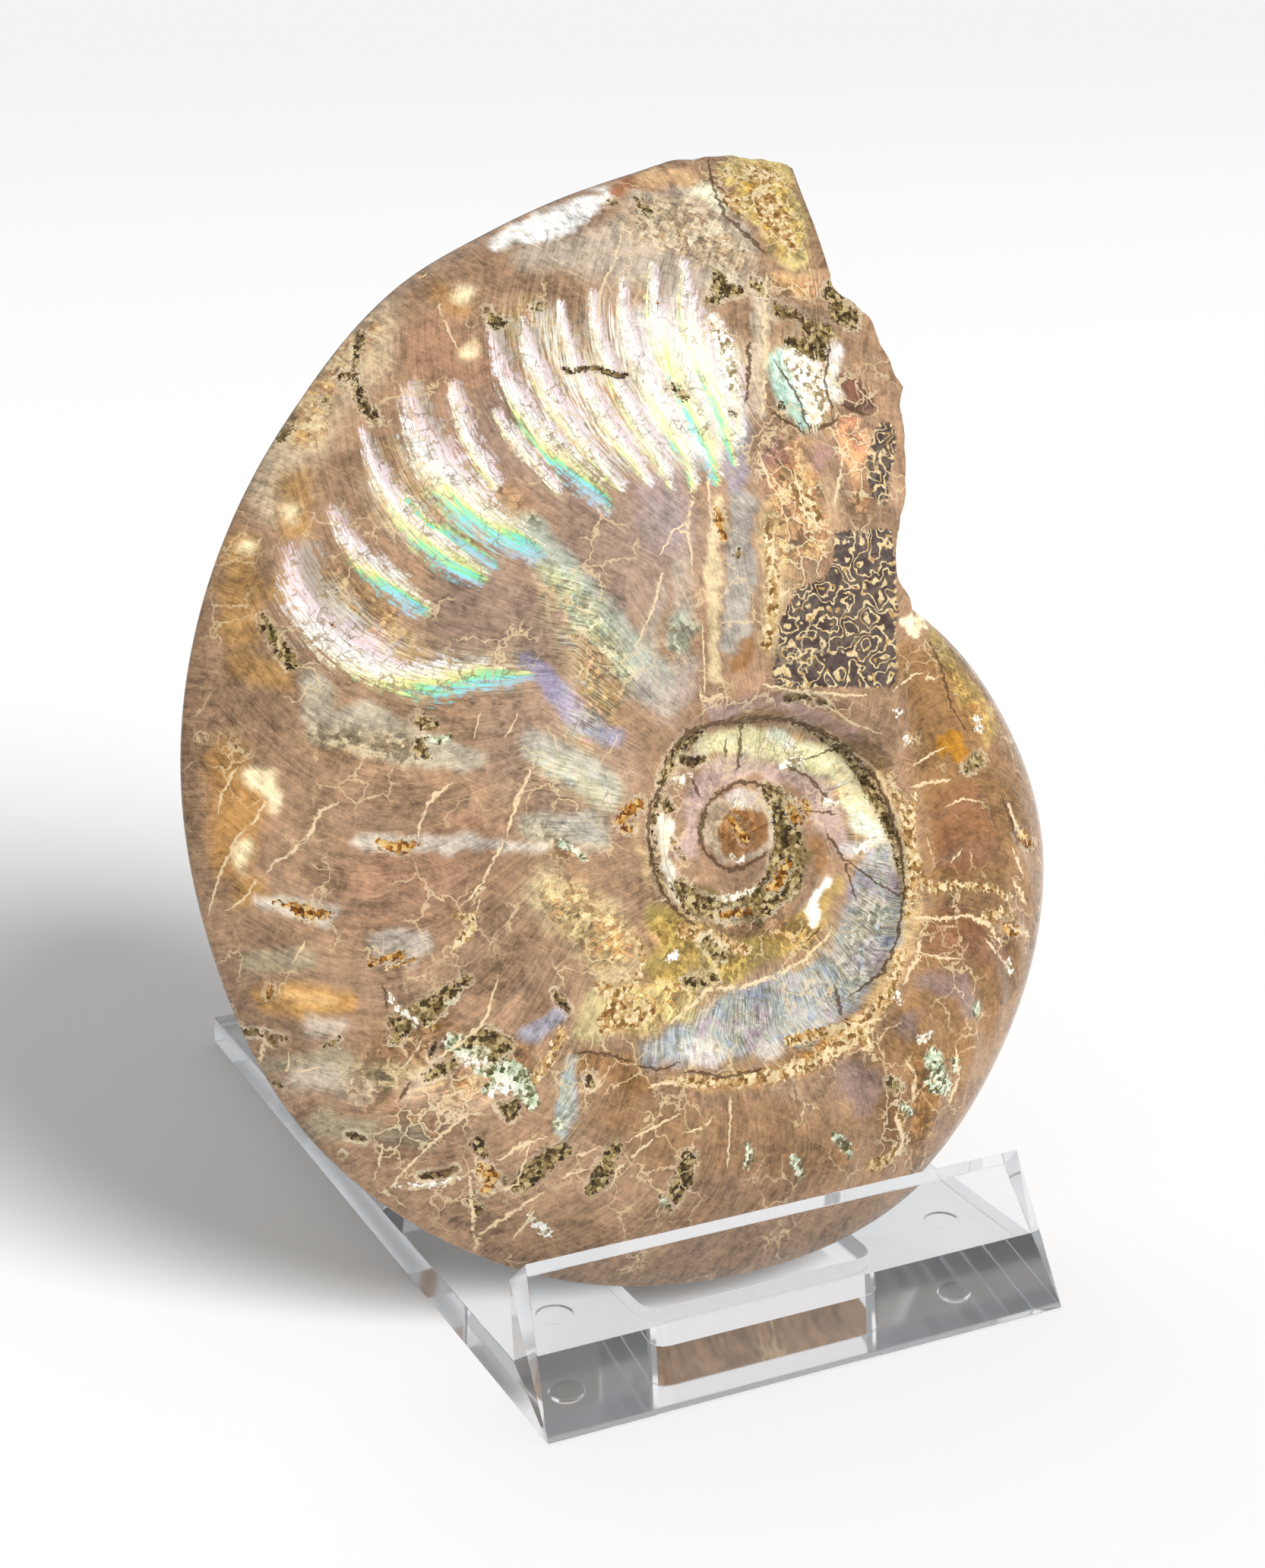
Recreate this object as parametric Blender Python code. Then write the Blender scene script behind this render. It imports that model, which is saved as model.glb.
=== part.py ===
"""A polished cleoniceras ammonite that leans on a small clear display stand.

The fossil is one stone: a flattened spiral shell with falcate ribs on its flanks, a stepped
umbilicus and a broken aperture. The stand is one moulded piece: a base with a window, a lip that
leans back and a backrest. World axes: +X to the viewer's right, +Y away from the viewer, +Z up,
with the origin at the centre of the stand's underside. Lengths below are in millimetres.
"""

from math import radians

import bmesh
import bpy
import numpy as np
from mathutils import Matrix, Vector, noise

MM = 0.001

# The stand
STAND_WIDTH = 50.0
STAND_DEPTH = 80.0
BASE_THICK_FRONT = 3.9
BASE_THICK_REAR = 2.8
LIP_TOP_FRONT = (7.0, 12.4)
LIP_TOP_BACK = (10.1, 9.3)
LIP_ROOT_Y = 6.6
LIP_SIDE_TAPER = 1.1
REST_ROOT_Y = 29.8
REST_ROOT_THICK = 4.6
REST_TOP_THICK = 2.6
REST_HEIGHT = 41.0
REST_LEAN_DEG = 19.1
REST_TOP_WIDTH = 30.0
WINDOW_LOW = (13.0, 9.4)
WINDOW_HIGH = (35.4, 26.0)
WINDOW_CORNER = 1.6
MARK_RADIUS = 1.6
MARK_DEPTH = 0.15
MARK_CENTRES = ((5.8, 12.3), (44.2, 12.3))
STAND_EDGE = 0.3

# Where the fossil stands, from the stand's front left bottom corner
LEAN_DEG = 23.0
POLE = (28.15, 27.5, 37.65)

# The fossil's outline round its pole: direction in degrees, anticlockwise from the viewer's
# right as seen from the front, and radius. The shell winds inwards as the direction grows.
APERTURE_TOP = 84.0
NOTCH = 47.0
KEEL_RADIUS = (
    (84, 60.0), (92, 57.9), (104, 55.6), (112, 54.7), (130, 51.6), (166, 48.0), (184, 46.2),
    (200, 45.1), (231, 41.4), (265, 37.8), (290, 36.9), (320, 35.3), (347, 34.9), (377, 32.2),
    (407, 28.4),
)
BREAK_RADIUS = (
    (47, 28.4), (51, 27.4), (54.5, 28.0), (57, 30.5), (58.8, 36.0), (60.2, 40.0), (62, 42.3),
    (64.2, 44.4), (66.3, 47.2), (68.5, 48.5), (71.4, 49.8), (72.2, 51.4), (73.2, 61.8),
    (74.4, 62.3), (78, 61.7), (82, 60.8), (84, 60.0),
)
LOST_SPIRAL_RATE = 0.004

# The fossil's thickness
HALF_THICKNESS = 12.5
THICKNESS_RATE = 0.0014
FLANK_POWER = 2.6
VENTER_POWER = 0.7

# The seam between the whorls seen in the umbilicus: growth angle from its innermost turn's left
# side, and radius. After SEAM_END the last whorl covers it.
SEAM = (
    (-720, 0.87), (-360, 1.9), (0, 4.2), (90, 4.6), (135, 5.5), (180, 7.6), (270, 8.4),
    (315, 9.2), (360, 9.6), (410, 9.4), (464, 9.9), (495, 11.2), (524, 13.2), (549, 14.6),
    (600, 17.6), (644, 20.4), (673, 22.4), (683, 25.5),
)
SEAM_START_DIRECTION = 540.0
SEAM_END = 683.0
UMBILICUS_LEVEL = 6.9
UMBILICUS_TILT = (-0.09, 0.03)
INNER_WHORL_RISE = 1.3
SEAM_STEP = 0.5
WALL_WIDTH = 2.6
WALL_DROP = 1.9

# The broken end of the last whorl, which lies on the whorl before it: direction counted on past
# a full turn, and radius of the step down to that whorl
END_STEP = ((376, 13.6), (395, 18.3), (407, 24.6), (412, 25.9), (420, 40.0))
END_STEP_WIDTH = 1.2
END_STEP_INSET = 0.2
WALL_CENTRE = 75.0
WALL_REACH = (45.0, 80.0)

# Ribs run along growth lines that bulge back in mid flank
BULGE_DEG = 6.5
BULGE_AT = 0.70
BULGE_SPAN = 0.20
BULGE_LIMIT = 1.6
GROOVE_DIRECTIONS = (98.0, 105.0, 112.3, 119.2, 126.2, 133.3, 140.5, 149.5)
GROOVE_WIDTH_DEG = 2.3
GROOVE_DEPTH = 0.75
UNDULATION_STEP_DEG = 11.5
UNDULATION_HEIGHT = 0.28

# The faceted solid
COARSE_STEP_DEG = 3.2
RIB_STEP_DEG = 2.0
RIB_ZONE = (94.0, 156.0)
CORE_RINGS = (0.35, 0.7, 0.97)
FRONT_TURN_RINGS = (0.04, 0.3, 0.6, 0.88, 0.985)
BACK_TURN_RINGS = (0.06, 0.55, 0.98)
FRONT_OUTER = (0.02, 0.09, 0.20, 0.32, 0.44, 0.56, 0.68, 0.79, 0.88, 0.95)
BACK_OUTER = (0.03, 0.14, 0.30, 0.47, 0.64, 0.79, 0.91)
BACK_RIB_SHARE = 0.8
BREAK_WALL_AT = 0.985
NOISE_SEED = 7
BREAK_ROUGHNESS = 0.9
BREAK_LUMP = 4.0
BREAK_DEPTH = 7.0
BREAK_FADE = (82.0, 88.0)


def curve(points, x):
    """Smooth curve through the points that doesn't overshoot them, read at x."""
    px, py = np.array(points, float).T
    rise = np.diff(py) / np.diff(px)
    same_way = np.maximum(rise[:-1] * rise[1:], 0)
    middle = 2 * same_way / np.where(same_way > 0, rise[:-1] + rise[1:], 1)
    slope = np.concatenate([rise[:1], middle, rise[-1:]])
    x = np.clip(x, px[0], px[-1])
    i = np.clip(np.searchsorted(px, x, side="right") - 1, 0, len(px) - 2)
    span = px[i + 1] - px[i]
    s = (x - px[i]) / span
    start = (2 * s**3 - 3 * s**2 + 1) * py[i] + (s**3 - 2 * s**2 + s) * span * slope[i]
    end = (3 * s**2 - 2 * s**3) * py[i + 1] + (s**3 - s**2) * span * slope[i + 1]
    return start + end


def ease(low, high, x):
    """0 below low, 1 above high, smooth between."""
    s = np.clip((x - low) / (high - low), 0, 1)
    return s * s * (3 - 2 * s)


def unwound(angle):
    """The direction counted from the notch, which is where the whorls meet on the outline."""
    return (angle - NOTCH) % 360 + NOTCH


def rim_radius(angle):
    """Radius of the fossil's outline."""
    angle = unwound(angle)
    return np.where(angle < APERTURE_TOP, curve(BREAK_RADIUS, angle), curve(KEEL_RADIUS, angle))


def keel_radius(angle):
    """Radius of the whole shell's keel, also of the part lost past the broken aperture."""
    lost = KEEL_RADIUS[0][1] * np.exp((APERTURE_TOP - angle) * LOST_SPIRAL_RATE)
    return np.where(angle < APERTURE_TOP, lost, curve(KEEL_RADIUS, angle))


def flank_height(radius, angle):
    """Half the shell's thickness, without ribs or umbilicus. The angle isn't taken round."""
    growth = np.minimum(APERTURE_TOP - angle, 0)
    half = HALF_THICKNESS * np.exp(THICKNESS_RATE * growth)
    share = np.clip(radius / keel_radius(angle), 0, 1)
    return half * (1 - share**FLANK_POWER) ** VENTER_POWER


def growth_bulge(share):
    """How far a growth line lies ahead of its direction, at a share of the keel's radius."""
    bend = np.minimum(((share - BULGE_AT) / BULGE_SPAN) ** 2, BULGE_LIMIT)
    return BULGE_DEG * (1 - bend)


def rib_relief(radius, angle):
    """Rib grooves in the upper left of the flank, and low swells on the rest of it."""
    share = radius / keel_radius(unwound(angle))
    line = unwound(angle) - growth_bulge(share)
    reach = ease(0.42, 0.60, share) * (1 - ease(0.86, 0.95, share))
    cut = np.zeros_like(radius)
    for direction in GROOVE_DIRECTIONS:
        cut += np.exp(-(((line - direction) / GROOVE_WIDTH_DEG) ** 2))
    swell = np.cos(2 * np.pi * line / UNDULATION_STEP_DEG)
    lower = ease(152, 162, line) * (1 - ease(330, 380, line))
    return reach * (UNDULATION_HEIGHT * swell * lower - GROOVE_DEPTH * np.minimum(cut, 1))


def seam_neighbours(radius, angle):
    """Radii of the seam's turns next inside and next outside a point, or 0 and infinity."""
    first = (SEAM_START_DIRECTION - angle) % 360
    inside = np.zeros_like(radius)
    outside = np.full_like(radius, np.inf)
    for turn in (-2, -1, 0, 1):
        growth = first + 360 * turn
        seam = curve(SEAM, growth)
        open_seam = growth <= SEAM_END
        inside = np.where(open_seam & (seam <= radius), np.maximum(inside, seam), inside)
        outside = np.where(open_seam & (seam > radius), np.minimum(outside, seam), outside)
    return inside, outside


def umbilicus_radius(angle, turns_in=0):
    """Radius at which the last whorl begins, or that of the seam some turns further in."""
    first = (SEAM_START_DIRECTION - angle) % 360
    growth = np.where(first + 360 <= SEAM_END, first + 360, first)
    return curve(SEAM, growth - 360 * turns_in)


def umbilicus_floor(radius, angle):
    """Height of the inner whorls: each rises from the seam inside it to the seam outside it."""
    inside, outside = seam_neighbours(radius, angle)
    outside = np.where(np.isinf(outside), inside + 1, outside)
    across = np.clip((radius - inside) / np.maximum(outside - inside, 0.01), 0, 1)
    turn_width = np.clip((outside - inside) / 5, 0, 1)
    x = radius * np.cos(np.radians(angle))
    y = radius * np.sin(np.radians(angle))
    plane = UMBILICUS_LEVEL + UMBILICUS_TILT[0] * x + UMBILICUS_TILT[1] * y
    return plane + INNER_WHORL_RISE * turn_width * (1 - (1 - across) ** 3)


def flank_with_end(radius, angle):
    """Half the thickness, with the step at the broken end of the last whorl."""
    wound = unwound(angle)
    late = np.where(wound < END_STEP[-1][0] - 360, wound + 360, wound)
    near_end = late > END_STEP[0][0]
    last = flank_height(radius, late - 360)
    before = flank_height(radius, np.minimum(late, NOTCH + 360))
    past = ease(0, END_STEP_WIDTH, radius - curve(END_STEP, late))
    return np.where(near_end, last + (before - last) * past, flank_height(radius, wound))


def face_height(radius, angle, rib_share):
    """Height of one face above the middle plane."""
    edge = umbilicus_radius(angle)
    off_wall = np.abs((angle - WALL_CENTRE + 180) % 360 - 180)
    wall = WALL_DROP * (1 - ease(*WALL_REACH, off_wall))
    wall = wall * (1 - ease(0, WALL_WIDTH, radius - edge))
    height = flank_with_end(radius, angle) - wall + rib_share * rib_relief(radius, angle)
    floor = np.minimum(umbilicus_floor(radius, angle), height - SEAM_STEP)
    return np.where(radius > edge, height, floor)


def column_directions():
    """Directions of the solid's columns of faces, closer together where the ribs are strong."""
    low, high = RIB_ZONE
    ribbed = np.arange(low, high, RIB_STEP_DEG)
    count = round((360 - (high - low)) / COARSE_STEP_DEG)
    plain = np.linspace(high, low + 360, count, endpoint=False)
    return np.concatenate([ribbed, plain])


def face_rings(turn_rings, outer, rib_share, side):
    """Rings of points of one face, from its middle out: arrays of x, y and height."""
    directions = column_directions()
    edge_shares = umbilicus_radius(directions) / rim_radius(directions)
    rings = []
    angle = directions + growth_bulge(0)
    core = umbilicus_radius(angle, turns_in=1)
    turn = umbilicus_radius(angle) - core
    rings += [(core * step, angle) for step in CORE_RINGS]
    rings += [(core + turn * step, angle) for step in turn_rings]
    last_whorl = len(rings)
    for step in outer:
        share = edge_shares + (1 - edge_shares) * step
        angle = directions + growth_bulge(share)
        broken = unwound(angle) < APERTURE_TOP
        reach = np.where(broken, step * BREAK_WALL_AT / outer[-1], step)
        edge = umbilicus_radius(angle)
        radius = edge + (rim_radius(angle) - edge) * reach
        rings.append((radius, angle))
    follow_end_step(rings[last_whorl:])
    points = []
    for radius, angle in rings:
        height = face_height(radius, angle, rib_share)
        points.append(to_points(radius, angle, side * height))
    return points


def follow_end_step(rings):
    """Moves two rings onto the edges of the step at the broken end, where they cross it."""
    for column in range(len(rings[0][0])):
        for near, far, beyond in zip(rings, rings[1:], rings[2:]):
            wound = unwound(near[1][column])
            late = wound + 360 if wound < END_STEP[-1][0] - 360 else wound
            step = float(curve(END_STEP, late))
            if late > END_STEP[0][0] and near[0][column] <= step < far[0][column]:
                near[0][column] = max(step - END_STEP_INSET, near[0][column])
                far[0][column] = min(step + END_STEP_WIDTH, beyond[0][column] - END_STEP_INSET)


def to_points(radius, angle, height):
    """Points in the fossil's own frame, in metres, roughened near the broken end."""
    x = radius * np.cos(np.radians(angle))
    y = radius * np.sin(np.radians(angle))
    points = []
    for place in zip(x, y, height):
        point = Vector(place)
        depth = BREAK_ROUGHNESS * break_share(point)
        rough = noise.noise_vector(point / BREAK_LUMP) * depth
        points.append((point + rough) * MM)
    return points


def break_share(point):
    """1 on the broken end, fading to 0 a little way into the flank."""
    angle = np.degrees(np.arctan2(point.y, point.x))
    wound = unwound(angle)
    if wound > BREAK_FADE[1]:
        return 0.0
    inset = rim_radius(wound) - point.xy.length
    return float(ease(BREAK_DEPTH, 0, inset) * (1 - ease(*BREAK_FADE, wound)))


def add_material(obj, name, colour, roughness, transmission=0.0, ior=1.5):
    """Gives the object a material of its own."""
    material = bpy.data.materials.new(name)
    material.use_nodes = True
    shader = material.node_tree.nodes["Principled BSDF"]
    shader.inputs["Base Color"].default_value = (*colour, 1)
    shader.inputs["Roughness"].default_value = roughness
    shader.inputs["Metallic"].default_value = 0.0
    shader.inputs["Transmission Weight"].default_value = transmission
    shader.inputs["IOR"].default_value = ior
    obj.data.materials.append(material)


def new_object(name, mesh):
    obj = bpy.data.objects.new(name, mesh)
    bpy.context.collection.objects.link(obj)
    return obj


def make_ammonite(parent):
    """The fossil: rings of faces on both sides that meet along the keel and the broken end."""
    mesh_rings = bmesh.new()
    angle = column_directions() + growth_bulge(1.0)
    rim = to_points(rim_radius(angle), angle, np.zeros_like(angle))
    front = face_rings(FRONT_TURN_RINGS, FRONT_OUTER, 1.0, 1)
    back = face_rings(BACK_TURN_RINGS, BACK_OUTER, BACK_RIB_SHARE, -1)
    rings = [[mesh_rings.verts.new(p) for p in ring] for ring in front + [rim] + back[::-1]]
    count = len(rim)
    for near, far in zip(rings, rings[1:]):
        for i in range(count):
            j = (i + 1) % count
            mesh_rings.faces.new((near[i], far[i], far[j], near[j]))
    for ring, side in ((rings[0], 1), (rings[-1], -1)):
        middle = mesh_rings.verts.new((0, 0, side * UMBILICUS_LEVEL * MM))
        for i in range(count):
            j = (i + 1) % count
            corner = (middle, ring[i], ring[j])
            mesh_rings.faces.new(corner if side > 0 else corner[::-1])
    mesh = bpy.data.meshes.new("ammonite")
    mesh_rings.to_mesh(mesh)
    mesh_rings.free()
    mesh.shade_smooth()
    obj = new_object("ammonite", mesh)
    obj.parent = parent
    obj.location = Vector(POLE) * MM
    obj.rotation_euler = (radians(90 - LEAN_DEG), 0, 0)
    add_material(obj, "ammonite shell", (0.42, 0.27, 0.19), 0.25)
    return obj


def side_profile():
    """The stand seen from its left: base, lip and backrest, as (y, z)."""
    lean = np.tan(radians(REST_LEAN_DEG))
    rest_back = REST_ROOT_Y + REST_ROOT_THICK
    top = REST_HEIGHT
    return (
        (0, 0), LIP_TOP_FRONT, LIP_TOP_BACK, (LIP_ROOT_Y, BASE_THICK_FRONT),
        (REST_ROOT_Y, base_top(REST_ROOT_Y)),
        (REST_ROOT_Y + (top - base_top(REST_ROOT_Y)) * lean, top),
        (REST_ROOT_Y + (top - base_top(REST_ROOT_Y)) * lean + REST_TOP_THICK, top),
        (rest_back, base_top(rest_back)),
        (STAND_DEPTH, BASE_THICK_REAR), (STAND_DEPTH, 0),
    )


def base_top(y):
    """Height of the base's upper face, which falls a little towards the rear."""
    share = (y - LIP_ROOT_Y) / (STAND_DEPTH - LIP_ROOT_Y)
    return BASE_THICK_FRONT + (BASE_THICK_REAR - BASE_THICK_FRONT) * share


def side_inset(y, z):
    """How far the stand's side lies inside its full width."""
    if z <= BASE_THICK_FRONT:
        return 0.0
    if y <= LIP_TOP_BACK[0]:
        return LIP_SIDE_TAPER
    return (STAND_WIDTH - REST_TOP_WIDTH) / 2


def make_window_cutter(parent):
    """The hole through the base, with round corners."""
    shape = bmesh.new()
    low = Vector((*WINDOW_LOW, -1.0)) * MM
    high = Vector((*WINDOW_HIGH, BASE_THICK_FRONT + 1.0)) * MM
    bmesh.ops.create_cube(shape, size=1.0)
    for vert in shape.verts:
        share = vert.co + Vector((0.5, 0.5, 0.5))
        vert.co = [low[k] + (high[k] - low[k]) * share[k] for k in range(3)]
    upright = [e for e in shape.edges if abs(e.verts[0].co.z - e.verts[1].co.z) > MM]
    bmesh.ops.bevel(shape, geom=upright, offset=WINDOW_CORNER * MM, segments=4, affect="EDGES", profile=0.5)
    return make_cutter("window_cutter", shape, parent)


def make_mark_cutter(parent):
    """The two round ejector marks on the base, just sunk in."""
    shape = bmesh.new()
    for x, y in MARK_CENTRES:
        height = 2.0
        centre = Vector((x, y, base_top(y) - MARK_DEPTH + height / 2)) * MM
        bmesh.ops.create_cone(
            shape, cap_ends=True, segments=24, radius1=MARK_RADIUS * MM, radius2=MARK_RADIUS * MM,
            depth=height * MM, matrix=Matrix.Translation(centre),
        )
    return make_cutter("mark_cutter", shape, parent)


def make_cutter(name, shape, parent):
    """A guide that only cuts: it is hidden and left out of the build."""
    mesh = bpy.data.meshes.new(name)
    shape.to_mesh(mesh)
    shape.free()
    cutter = new_object(name, mesh)
    cutter.parent = parent
    cutter.hide_render = True
    cutter.display_type = "WIRE"
    return cutter


def make_stand(parent):
    """The stand: its side profile drawn out to its width, drawn in at the tops, and cut."""
    shape = bmesh.new()
    left = [shape.verts.new(Vector((side_inset(y, z), y, z)) * MM) for y, z in side_profile()]
    right = [
        shape.verts.new(Vector((STAND_WIDTH - side_inset(y, z), y, z)) * MM)
        for y, z in side_profile()
    ]
    shape.faces.new(left)
    shape.faces.new(right[::-1])
    for i in range(len(left)):
        j = (i + 1) % len(left)
        shape.faces.new((left[i], right[i], right[j], left[j]))
    bmesh.ops.recalc_face_normals(shape, faces=shape.faces)
    mesh = bpy.data.meshes.new("display_stand")
    shape.to_mesh(mesh)
    shape.free()
    obj = new_object("display_stand", mesh)
    obj.parent = parent
    for cutter in (make_window_cutter(parent), make_mark_cutter(parent)):
        cut = obj.modifiers.new(cutter.name, "BOOLEAN")
        cut.operation = "DIFFERENCE"
        cut.object = cutter
    edge = obj.modifiers.new("edge", "BEVEL")
    edge.width = STAND_EDGE * MM
    edge.segments = 2
    edge.limit_method = "ANGLE"
    edge.angle_limit = radians(35)
    add_material(obj, "clear plastic", (0.97, 0.98, 1.0), 0.03, transmission=1.0, ior=1.49)
    return obj


def main():
    for obj in list(bpy.data.objects):
        bpy.data.objects.remove(obj)
    noise.seed_set(NOISE_SEED)
    corner = bpy.data.objects.new("stand_corner", None)
    bpy.context.collection.objects.link(corner)
    corner.location = Vector((-STAND_WIDTH / 2, -STAND_DEPTH / 2, 0)) * MM
    make_stand(corner)
    make_ammonite(corner)


main()
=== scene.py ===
"""The dressed model of a polished cleoniceras ammonite on a small clear display stand.

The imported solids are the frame. The fossil gets a fine surface of the same shape, with its grooves,
pits and broken end, and the stand keeps its own solid in clear plastic. The fossil's markings are
strokes placed on its face as the camera sees it, in picture coordinates (x, y, radius), and the back
carries the same markings mirrored and turned a little. Lengths are in millimetres unless named.
"""

from math import radians

import bpy
import numpy as np
from mathutils import Matrix, Vector, noise


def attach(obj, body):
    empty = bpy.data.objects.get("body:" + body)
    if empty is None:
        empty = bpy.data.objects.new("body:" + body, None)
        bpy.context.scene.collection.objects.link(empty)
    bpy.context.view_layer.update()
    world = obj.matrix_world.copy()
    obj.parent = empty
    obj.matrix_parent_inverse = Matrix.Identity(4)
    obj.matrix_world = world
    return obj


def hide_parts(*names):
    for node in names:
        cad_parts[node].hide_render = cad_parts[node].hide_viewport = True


MM = 0.001

# The camera, and the picture that it sees
CAMERA_PLACE = (-107.7, -206.53, 125.7)
CAMERA_ROWS = ((0.8882, -0.4584, 0.0308), (-0.1347, -0.3238, -0.9365), (0.4392, 0.8277, -0.3493))
FOCAL = 3600.0
PICTURE_SIZE = (1665, 2064)
SENSOR = 36.0
CLIP = (0.01, 20)

# Where the fossil stands
LEAN_DEG = 23.0
POLE = (3.15, -12.5, 37.65)

# The fossil's outline round its pole: direction in degrees, anticlockwise, and radius
APERTURE_TOP = 84.0
NOTCH = 47.0
KEEL_RADIUS = (
    (84, 60.0), (92, 57.9), (104, 55.6), (112, 54.7), (130, 51.6), (166, 48.0), (184, 46.2),
    (200, 45.1), (231, 41.4), (265, 37.8), (290, 36.9), (320, 35.3), (347, 34.9), (377, 32.2),
    (407, 28.4),
)
BREAK_RADIUS = (
    (47, 28.4), (51, 28.2), (54, 30.6), (56, 33.0), (57.7, 37.6), (59.7, 41.0), (62, 42.6),
    (64, 44.2), (66.2, 47.0), (68.4, 48.2), (70.5, 49.4), (71.8, 51.0), (72.6, 56.0),
    (73.4, 61.0), (75, 61.5), (77.5, 61.1), (80, 61.0), (82, 60.5), (84, 60.0),
)
LOST_SPIRAL_RATE = 0.004

# The fossil's thickness
HALF_THICKNESS = 12.5
THICKNESS_RATE = 0.0014
FLANK_POWER = 2.6
VENTER_POWER = 0.7

# The seam between the whorls seen in the umbilicus
SEAM = (
    (-720, 0.87), (-360, 1.9), (0, 4.2), (90, 4.6), (135, 5.5), (180, 7.6), (270, 8.4),
    (315, 9.2), (360, 9.6), (410, 9.4), (464, 9.9), (495, 11.2), (524, 13.2), (549, 14.6),
    (600, 17.6), (644, 20.4), (673, 22.4), (683, 25.5),
)
SEAM_START_DIRECTION = 540.0
SEAM_END = 683.0
UMBILICUS_LEVEL = 6.9
UMBILICUS_TILT = (-0.09, 0.03)
INNER_WHORL_RISE = 1.3
INNER_WHORL_WIDTH = 5.0
SEAM_STEP = 0.5
WALL_WIDTH = 2.6
WALL_DROP = 1.9
WALL_CENTRE = 75.0
WALL_REACH = (45.0, 80.0)
END_STEP = ((376, 13.6), (395, 18.3), (407, 24.6), (412, 25.9), (420, 40.0))
END_STEP_WIDTH = 1.2

# Growth lines bulge back in mid flank
BULGE_DEG = 6.5
BULGE_AT = 0.70
BULGE_SPAN = 0.20
BULGE_LIMIT = 1.6
UNDULATION_STEP_DEG = 11.5
UNDULATION_HEIGHT = 0.28
# Where the swells begin and end: shares of the keel's radius, and growth lines in degrees
SWELL_INNER = (0.42, 0.60)
SWELL_OUTER = (0.86, 0.95)
SWELL_FIRST = (152, 162)
SWELL_LAST = (330, 380)

# The broken end
NOISE_SEED = 7
BREAK_ROUGHNESS = 0.7
BREAK_LUMP = 4.0
BREAK_CRUMB = 1.3
BREAK_CRUMB_SHARE = 0.35
BREAK_DEPTH = 7.0
BREAK_FADE = (82.0, 88.0)
RIM_INSET = 0.02

# The fine mesh: zones of rings, each with its outer radius (none for the outline), its number of
# columns and of rings
FRONT_ZONES = ((10.0, 200, 30), (22.0, 400, 36), (None, 800, 76))
BACK_ZONES = ((10.0, 200, 5), (22.0, 400, 6), (None, 800, 15))
RING_CROWDING = 1.15
SEAM_BLUR = (-0.36, -0.12, 0.12, 0.36)
SEAM_FADE = (640.0, 683.0)
GROOVE_DEPTH = 0.42
GROOVE_WIDTH = 1.25
GROOVE_WALL = (0.0, 1.25)
PIT_DEPTH = 0.30
PIT_WALL = (-3, 4)
PIT_KINDS = ("matrix", "dark", "rust")
RELIEF_THICKNESS = 2.0

# The back's markings: how far they are turned, from and to which directions, how soon from the
# rim, and at which height of the side they take over from the front's
BACK_SHIFT_DEG = 24.0
BACK_SHIFT_FIRST = (100, 150)
BACK_SHIFT_LAST = (330, 380)
BACK_SHIFT_INSET = (0, 0.15)
BACK_FADE = (-3, -7)

# How soft the painted colours are, the share of that inside their edge, and how their edges
# wander: size in mm, reach in picture pixels
SOFTNESS = 0.65
INNER_SOFTNESS = 0.3
EDGE_WANDER = ((5.0, 16.0), (1.5, 9.0))

# How far the markings' distances are kept, in picture pixels or half widths, and the thinnest line
FAR = 1e3
MARK_REACH = 14
SUTURE_REACH = 20
LINE_REACH = 20
LINE_SIDES = 4.0
THINNEST_LINE = 0.8
GROOVE_LIMIT = 3.0
GROOVE_SIDES = 1.5
GROOVE_REACH = 2.5

# The sky: its light, and how bright the camera sees it
SKY_LIGHT = 0.37
SKY_SEEN = 0.90

# The lights: name, where each comes from, strength, spread in degrees, and whether it shows in
# gloss and through the clear plastic
LIGHTS = (
    ("key", (0.32, -0.80, 0.72), 3.0, 30, False, False),
    ("gleam", (0.375, -0.70, 0.60), 0.15, 11, True, False),
    ("top", (-0.1, 0.7, 0.75), 0.35, 40, True, True),
)

# How many times light bounces: the clear plastic carries it a long way
DIFFUSE_BOUNCES = 2
GLOSSY_BOUNCES = 32
CLEAR_BOUNCES = 128

# The floor: its reach from the middle and its drop in metres, its finish, where it turns greyer in mm
# behind the stand, and its colours. The greyer colour further back is painted shade in place of the
# light's falloff.
FLOOR_REACH = 40
FLOOR_DROP = 0.0002
FLOOR_ROUGHNESS = 0.8
FLOOR_SHADE_FADE = (100.0, 1000.0)
FLOOR_NEAR = (247, 247, 247)
FLOOR_FAR_SHADED = (234, 234, 234)

# Fossil colours, as seen
MAUVE_BROWN = (160, 131, 106)
ROSY = (168, 130, 106)
AMBER = (178, 138, 94)
ORANGE_BROWN = (146, 113, 79)
CREAM_GLOW = (255, 236, 196)
CREAM = (218, 198, 168)
GREY_CREAM = (196, 184, 168)
# Pale nacre, also used as painted glare
WHITE_NACRE_AND_GLARE = (236, 230, 220)
GOLD = (168, 148, 96)
PALE_GOLD = (204, 188, 142)
TAN = (203, 168, 130)
PEACH = (226, 186, 152)
PURPLE_BROWN = (112, 84, 76)
BLUE_GREY = (152, 151, 158)
BLUE_VIOLET = (146, 146, 178)
MAUVE_PINK = (194, 168, 158)

# The shell's textures: how far growth streaks stretch, the size of its chunks, its suture lines'
# number and its bump in mm
GROWTH_STRETCH = 7.0
CHUNK_SCALE = 0.55
SUTURE_STEPS = 8.5
BUMP_HEIGHT = 0.25

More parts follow.
